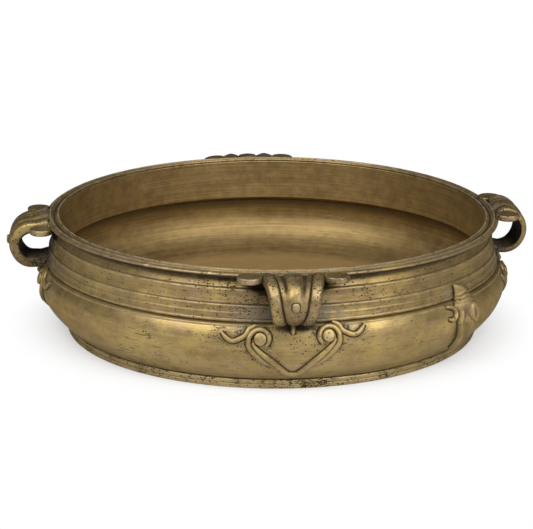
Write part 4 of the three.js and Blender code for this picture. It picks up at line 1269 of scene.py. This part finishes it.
# %% Strands
SKIRT, SKIRT_TOP, SUNK = 1.0, 0.12, -0.6
BACK = np.linspace(0, np.pi, 17)
BACK_POWER, TAPER_RATE = 0.8, 4
SHARE_X = np.concatenate([[1, 1], np.cos(BACK), [-1, -1]])
SKIRT_X = np.concatenate([[1, 1], 0 * BACK, [-1, -1]])
SHARE_Y = np.concatenate([[0, 0], np.sin(BACK) ** BACK_POWER, [0, 0]])
BASE_Y = np.concatenate([[SUNK, SKIRT_TOP], 0 * BACK + SKIRT_TOP, [SKIRT_TOP, SUNK]])


def strand_skin(path, width, height, start, end, bed, grime):
    """Carries the D-shaped section along a flat path on the belly, or on a bed that gives its own
    height. Start and end are shares of the full size, reached within a quarter of the path."""
    u = np.linspace(0, 1, len(path))
    taper = np.minimum(1, np.minimum(start + TAPER_RATE * u, end + TAPER_RATE * (1 - u)))
    taper = np.sqrt(taper)[:, None]
    along = unit(np.gradient(path, axis=0))
    offset = width / 2 * SHARE_X * taper + SKIRT * SKIRT_X
    across = path[:, :1] + along[:, 1:] * offset
    down = path[:, 1:] - along[:, :1] * offset
    lift = bed(across, down) if bed else 0.0
    grid = on_belly(across, down, lift + BASE_Y + height * SHARE_Y * taper)
    dirt_and_shade, wear_and_highlight = grime * np.clip(1 - 2.2 * SHARE_Y, 0, 1), 0.35 * step(SHARE_Y, 0.75, 1.0)
    return grid, {"dirt_and_shade": dirt_and_shade, "wear_and_highlight": wear_and_highlight, "pits": 0.08}


def strand(name, node, path, turn, width, height, start, end, bed=None, grime=1.0):
    """Makes one strand of the scrollwork and turns it to its place."""
    grid, marks = strand_skin(path, width, height, start, end, bed, grime)
    piece(name, at_handle(grid, turn), marks, "scroll_brass", node)


# %% Hearts, curls and tendrils
HEART_SIZE = (STRAND_WIDTH, STRAND_HEIGHT, 0.3, 0.3)
CURL_SIZE = (CURL_WIDTH, STRAND_HEIGHT, 0.02, 0.5)
TENDRIL_SIZE = (TENDRIL_WIDTH, TENDRIL_HEIGHT, 0.5, 0.4)
for index, (place, turn) in enumerate(HANDLES):
    heart = as_set(HEART, index)
    strand(f"{place}_heart_skin", f"{place}_heart_scroll", heart, turn, *HEART_SIZE)
    for hand, side in SIDES.items():
        curl, tendril = as_set(CURL * (side, 1), index), as_set(TENDRIL * (side, 1), index)
        node = f"{place}_scroll_curl_{hand}"
        strand(f"{place}_curl_{hand}_skin", node, curl, turn, *CURL_SIZE)
        node = f"{place}_tendril_{hand}"
        strand(f"{place}_tendril_{hand}_skin", node, tendril, turn, *TENDRIL_SIZE)

# %% [markdown]
# ## Drops and bosses
# A small pendant drop hangs under each tongue's tip, and a round button fills each curl. The drop is
# one more strand, straight down and pointed below. It starts under the tongue where that hangs low.
# The boss is a flat-topped profile carried round, with the same skirt of grime.

# %% Drops
DROP_WIDTH, DROP_LENGTH, DROP_FROM, DROP_CLEAR, DROP_POINTS = 4.2, 10.0, -2.6, 0.6, 32
DROP_SIZE = (DROP_WIDTH, STRAND_HEIGHT, 0.7, 0.02)
for place, turn in HANDLES:
    tongue_low = LOOPS[place]["middle"][1] - LOOPS[place]["lowered"] - TONGUE_REACH
    drop_top = max(DROP_FROM, SHOULDER[1] - tongue_low + DROP_CLEAR)
    fall = drop_top + np.linspace(0, DROP_LENGTH, DROP_POINTS)
    drop = np.stack([np.zeros(DROP_POINTS), fall], -1)
    strand(f"{place}_drop_skin", f"{place}_handle_drop", drop, turn, *DROP_SIZE)

# %% Bosses
# Rings of the boss: share of its radius, and level above the belly
BOSS_PROFILE = np.array([(0.1, SUNK), (1.13, SUNK), (1.13, SKIRT_TOP), (1.0, 0.3), (1.0, 2.4),
                         (0.94, 3.4), (0.80, 3.9), (0.5, 4.1), (0.12, 4.1)])
BOSS_SIDES, BOSS_RINGS = 48, 40


def boss_skin(side, index):
    """Rings of a flat-topped button on the belly, with the same skirt of grime at its foot."""
    line = even(BOSS_PROFILE, BOSS_RINGS)
    wide, level = BOSS_RADIUS * line[:, :1], line[:, 1:]
    turn = full_turn(BOSS_SIDES)
    middle = as_set(np.array([side * BOSS_ACROSS, BOSS_DOWN]), index)
    grid = on_belly(middle[0] + wide * np.cos(turn), middle[1] + wide * np.sin(turn), level)
    marks = {"dirt_and_shade": step(-level, -1.6, -0.5), "wear_and_highlight": 0.45 * step(level, 3.2, 4.0), "pits": 0.2}
    return grid, marks


for index, (place, turn) in enumerate(HANDLES):
    for hand, side in SIDES.items():
        grid, marks = boss_skin(side, index)
        node = f"{place}_scroll_boss_{hand}"
        piece(f"{place}_boss_{hand}_skin", at_handle(grid, turn), marks, "scroll_brass", node)

# %% [markdown]
# ## The leaf
# Between the front and the right handle a pointed leaf rises over the shoulder. It is a domed hood
# with fine wrinkles above, drawn in beside two curls, with a rib along its left edge, and pointed
# again above the foot. Its surface is a height over a flat drawing, laid on the belly, which is
# simpler to shape than a free form.

# %% Drawing of the leaf
LEAF_BED, LEAF_EDGE, LEAF_SEAT = -3.5, 1.0, 0.2
# The leaf's drawing: down, left outline, crest, right outline and the crest's height
LEAF_OUTLINE = np.array([
    (-16.5, -5.6, -4.0, -2.4, 2.0), (-13.0, -6.2, 1.0, 6.0, 5.2), (-8.0, -6.8, 5.0, 12.0, 7.6),
    (-3.0, -9.4, 7.0, 15.0, 8.8), (2.0, -13.4, 8.0, 16.0, 9.4), (5.0, -13.0, 8.0, 16.4, 9.6),
    (8.5, -9.2, 8.0, 16.4, 9.6), (13.5, -10.0, 8.0, 16.0, 9.2), (18.0, -11.8, 7.0, 15.0, 8.6),
    (24.0, -9.8, 6.0, 13.6, 7.8), (30.0, -7.4, 5.0, 12.0, 7.0), (36.0, -5.0, 4.0, 10.0, 6.0),
    (42.0, -3.6, 3.0, 7.6, 4.8), (48.0, -2.2, 1.4, 4.6, 3.2), (53.0, -1.2, -0.2, 0.8, 1.4)])
LEAF_DOWN = LEAF_OUTLINE[:, 0]
RIB_INSET, RIB_BROAD, RIB_RISE, RIB_START = 3.0, 1.7, 1.9, (0, 12)
WRINKLE, WRINKLE_EVERY, WRINKLE_LEAN, WRINKLE_BEND = 0.36, 3.6, 0.12, 0.5
HOOD_MIDDLE, HOOD_REACH = -3.0, 5.0
DOME_POWER, EDGE_SHARE = 0.9, 0.06
OVER_COLLAR, COLLAR_RANGE = 3.0, (3, 15)
LEAF_ROWS, LEAF_TOP, LEAF_STEPS = 140, 91, 400
DIMPLE_ACROSS, DIMPLE_DOWN, DIMPLE_DEPTH = -2.4, 10.5, 1.5
SOFTEN = np.hanning(21) / np.hanning(21).sum()
LEAF_X = np.concatenate([np.sin(np.linspace(np.pi / 2, -np.pi / 2, LEAF_TOP)),
                         np.linspace(-0.98, 0.98, 9)])
LEAF_ON_TOP = (np.arange(len(LEAF_X)) < LEAF_TOP).astype(float)


def leaf_shape(down):
    """Left outline, crest, right outline and the crest's height, softened along the leaf."""
    walk = np.linspace(LEAF_DOWN[0], LEAF_DOWN[-1], LEAF_STEPS)
    columns = [np.interp(walk, LEAF_DOWN, column) for column in LEAF_OUTLINE[:, 1:].T]
    margin = len(SOFTEN) // 2
    padded = [np.pad(column, margin, mode="edge") for column in columns]
    return [np.interp(down, walk, np.convolve(column, SOFTEN, mode="valid")) for column in padded]


# %% Height of the leaf
def wrinkles(across, down):
    """Sine wave down the leaf, leaning and bending with across, from -1 in a crease to 1."""
    phase = 2 * np.pi * (down - WRINKLE_LEAN * across) / WRINKLE_EVERY
    return np.sin(phase + np.sin(WRINKLE_BEND * across))


def leaf_height(across, down):
    """From an edge of its own height the leaf rises to the crest with a quarter of a sine wave,
    slowly from the left and fast from the right. Added are the rib as a bell beside the left
    outline, the wrinkles of the hood, a dimple beside the right curl, and a lift over the collar."""
    left, crest, right, crown = leaf_shape(down)
    to_left = np.clip((across - left) / (crest - left), 0, 1)
    to_right = np.clip((right - across) / (right - crest), 0, 1)
    inwards = np.minimum(to_left, to_right)
    rise = np.sin(np.pi / 2 * inwards) ** DOME_POWER
    rim = np.clip(inwards / EDGE_SHARE, 0, 1)
    dimple = DIMPLE_DEPTH * bump(across, DIMPLE_ACROSS, 2.6) * bump(down, DIMPLE_DOWN, 4.6)
    rib = RIB_RISE * bump(across, left + RIB_INSET, RIB_BROAD) * step(down, *RIB_START) * rim
    fold = WRINKLE * wrinkles(across, down) * bump(down, HOOD_MIDDLE, HOOD_REACH) * rise
    dome = LEAF_SEAT + LEAF_EDGE * rim + (crown - LEAF_EDGE) * rise
    return dome + rib + fold - dimple + OVER_COLLAR * step(-down, *COLLAR_RANGE)


# %% Leaf
def leaf_skin():
    """Rows across the leaf from its right outline to its left, raised to its height, and a flat
    underside below them."""
    x, on_top = LEAF_X, LEAF_ON_TOP
    down = np.linspace(LEAF_DOWN[0], LEAF_DOWN[-1], LEAF_ROWS)[:, None]
    left, _, right, _ = leaf_shape(down)
    across = (right + left) / 2 + (right - left) / 2 * x
    rise = leaf_height(across, down)
    grid = on_belly(across, down, LEAF_BED + (rise - LEAF_BED) * on_top)
    dimple = bump(across, DIMPLE_ACROSS, 2.4) * bump(down, DIMPLE_DOWN, 4.2)
    # Grime round the outline, heavier on the left edge as painted shade
    edge = bump(np.abs(x), 1.0, 0.06) * (0.6 + 0.4 * (x < 0))
    hood = 1 - step(down, -2.0, 10.0)
    rib = bump(across, left + RIB_INSET, RIB_BROAD) * step(down, *RIB_START) * on_top
    flank = bump(across, left + RIB_INSET + 5, 3.0) * step(down, 14, 22) * on_top
    crease = step(-wrinkles(across, down), 0.3, 1.0) * bump(down, HOOD_MIDDLE, HOOD_REACH) * on_top
    marks = {
        "dirt_and_shade": np.clip(edge + 0.55 * dimple + 0.25 * hood + 0.3 * flank + 0.5 * crease, 0, 1),
        "wear_and_highlight": 0.45 * rib,
        "grey": np.clip(0.6 * dimple, 0, 1),
        "pits": 0.1 + 0.3 * step(x, 0.0, 0.6),
    }
    return grid, marks


grid, marks = leaf_skin()
piece("leaf_skin", at_handle(grid, LEAF_TURN), marks, "scroll_brass", "leaf_boss")

# %% [markdown]
# ## Curls of the leaf
# Two curls flank the leaf's waist. The left one lies on the belly and opens away from the leaf. The
# right one is an oval ring that lies on the leaf itself, so its bed is the leaf's height.

# %% Leaf curls
LEAF_CURLS = {
    "left": [(-23.5, 1.0), (-17.5, 2.4), (-13.4, 5.5), (-12.6, 9.0), (-14.0, 12.6), (-17.5, 13.8),
             (-23.0, 12.6)],
    "right": [(3.4, 16.2), (2.2, 12.4), (2.6, 8.6), (5.0, 6.6), (7.6, 8.2), (8.6, 12.4), (7.6, 16.4),
              (5.2, 18.4)],
}
# Width, height, share at its start and end, bed and grime
LEAF_CURL_SIZE = {"left": (3.9, 3.6, 0.4, 0.4, None, 1.0),
                  "right": (4.9, 2.1, 0.4, 0.4, leaf_height, 0.45)}
for hand, corners in LEAF_CURLS.items():
    node = f"leaf_curl_{hand}"
    strand(f"{node}_skin", node, smooth(corners), LEAF_TURN, *LEAF_CURL_SIZE[hand])

# %% [markdown]
# ## The floor
# The vessel stands on a plain pale floor that keeps its shadow. Away from the vessel the floor turns
# to pure white for the camera, and further out for reflections, so that the background is white
# without more light on the brass.

# %% Floor
FLOOR_HALF = 30.0
FLOOR_CORNERS = ((-1, -1), (1, -1), (1, 1), (-1, 1))
CAMERA_WHITE, MIRROR_WHITE = (0.15, 0.27), (1.20, 4.00)
FLOOR_PALE, PURE_WHITE = (0.71, 0.71, 0.71, 1), (1, 1, 1, 1)
floor_mesh = bpy.data.meshes.new("studio_floor")
floor_points = [(x * FLOOR_HALF, y * FLOOR_HALF, 0) for x, y in FLOOR_CORNERS]
floor_mesh.from_pydata(floor_points, [], [(0, 1, 2, 3)])
floor = bpy.data.objects.new("studio_floor", floor_mesh)
bpy.context.scene.collection.objects.link(floor)
floor_paint = bpy.data.materials.new("floor_paint")
tree = empty_net(floor_paint)
coords = Value(add(tree, "ShaderNodeTexCoord"), "Object")
away = Value(add(tree, "ShaderNodeVectorMath", {0: coords}, operation="LENGTH"), "Value")
rays = add(tree, "ShaderNodeLightPath")
seen = Value(rays, "Is Camera Ray") * between(away, *CAMERA_WHITE)
mirrored = larger(Value(rays, "Is Glossy Ray"), Value(rays, "Is Transmission Ray"))
far = larger(seen, mirrored * between(away, *MIRROR_WHITE))
pale = Value(add(tree, "ShaderNodeBsdfDiffuse", {"Color": FLOOR_PALE}))
paper = Value(add(tree, "ShaderNodeEmission", {"Color": PURE_WHITE, "Strength": 1.0}))
sheet = Value(add(tree, "ShaderNodeMixShader", {0: far, 1: pale, 2: paper}))
add(tree, "ShaderNodeOutputMaterial", {"Surface": sheet})
floor_mesh.materials.append(floor_paint)
print("floor is", 2 * FLOOR_HALF, "m wide")

# %% [markdown]
# ## The light
# Two soft boxes light the vessel, one on each side of the camera and a little above, as in a small
# studio. The world adds only a faint plain grey, so that the hollows stay dark.

# %% Light
BOX_SIZE, BOX_DISTANCE, BOX_POWER = 1.5, 2.1, 44.0
BOX_PLACES = {"left_soft_box": (-41.0, 42.0), "right_soft_box": (32.0, 36.0)}
WORLD_LIGHT = 0.04


def soft_box(name, azimuth, elevation):
    """A square lamp at an angle from the front, turned towards the vessel."""
    lamp = bpy.data.lights.new(name, "AREA")
    lamp.size = BOX_SIZE
    lamp.energy = BOX_POWER
    obj = bpy.data.objects.new(name, lamp)
    bpy.context.scene.collection.objects.link(obj)
    towards = direction(math.radians(azimuth), math.radians(elevation))
    turn = towards.to_track_quat("Z", "Y").to_matrix().to_4x4()
    obj.matrix_world = Matrix.Translation(AIM + towards * BOX_DISTANCE) @ turn
    print(name, "stands at", [round(v, 2) for v in obj.matrix_world.translation])


for name, angles in BOX_PLACES.items():
    soft_box(name, *angles)

world = bpy.data.worlds.new("studio_grey")
bpy.context.scene.world = world
tree = empty_net(world)
room = Value(add(tree, "ShaderNodeBackground", {"Color": PURE_WHITE, "Strength": WORLD_LIGHT}))
add(tree, "ShaderNodeOutputWorld", {"Surface": room})
bpy.context.scene.view_settings.view_transform = "Standard"
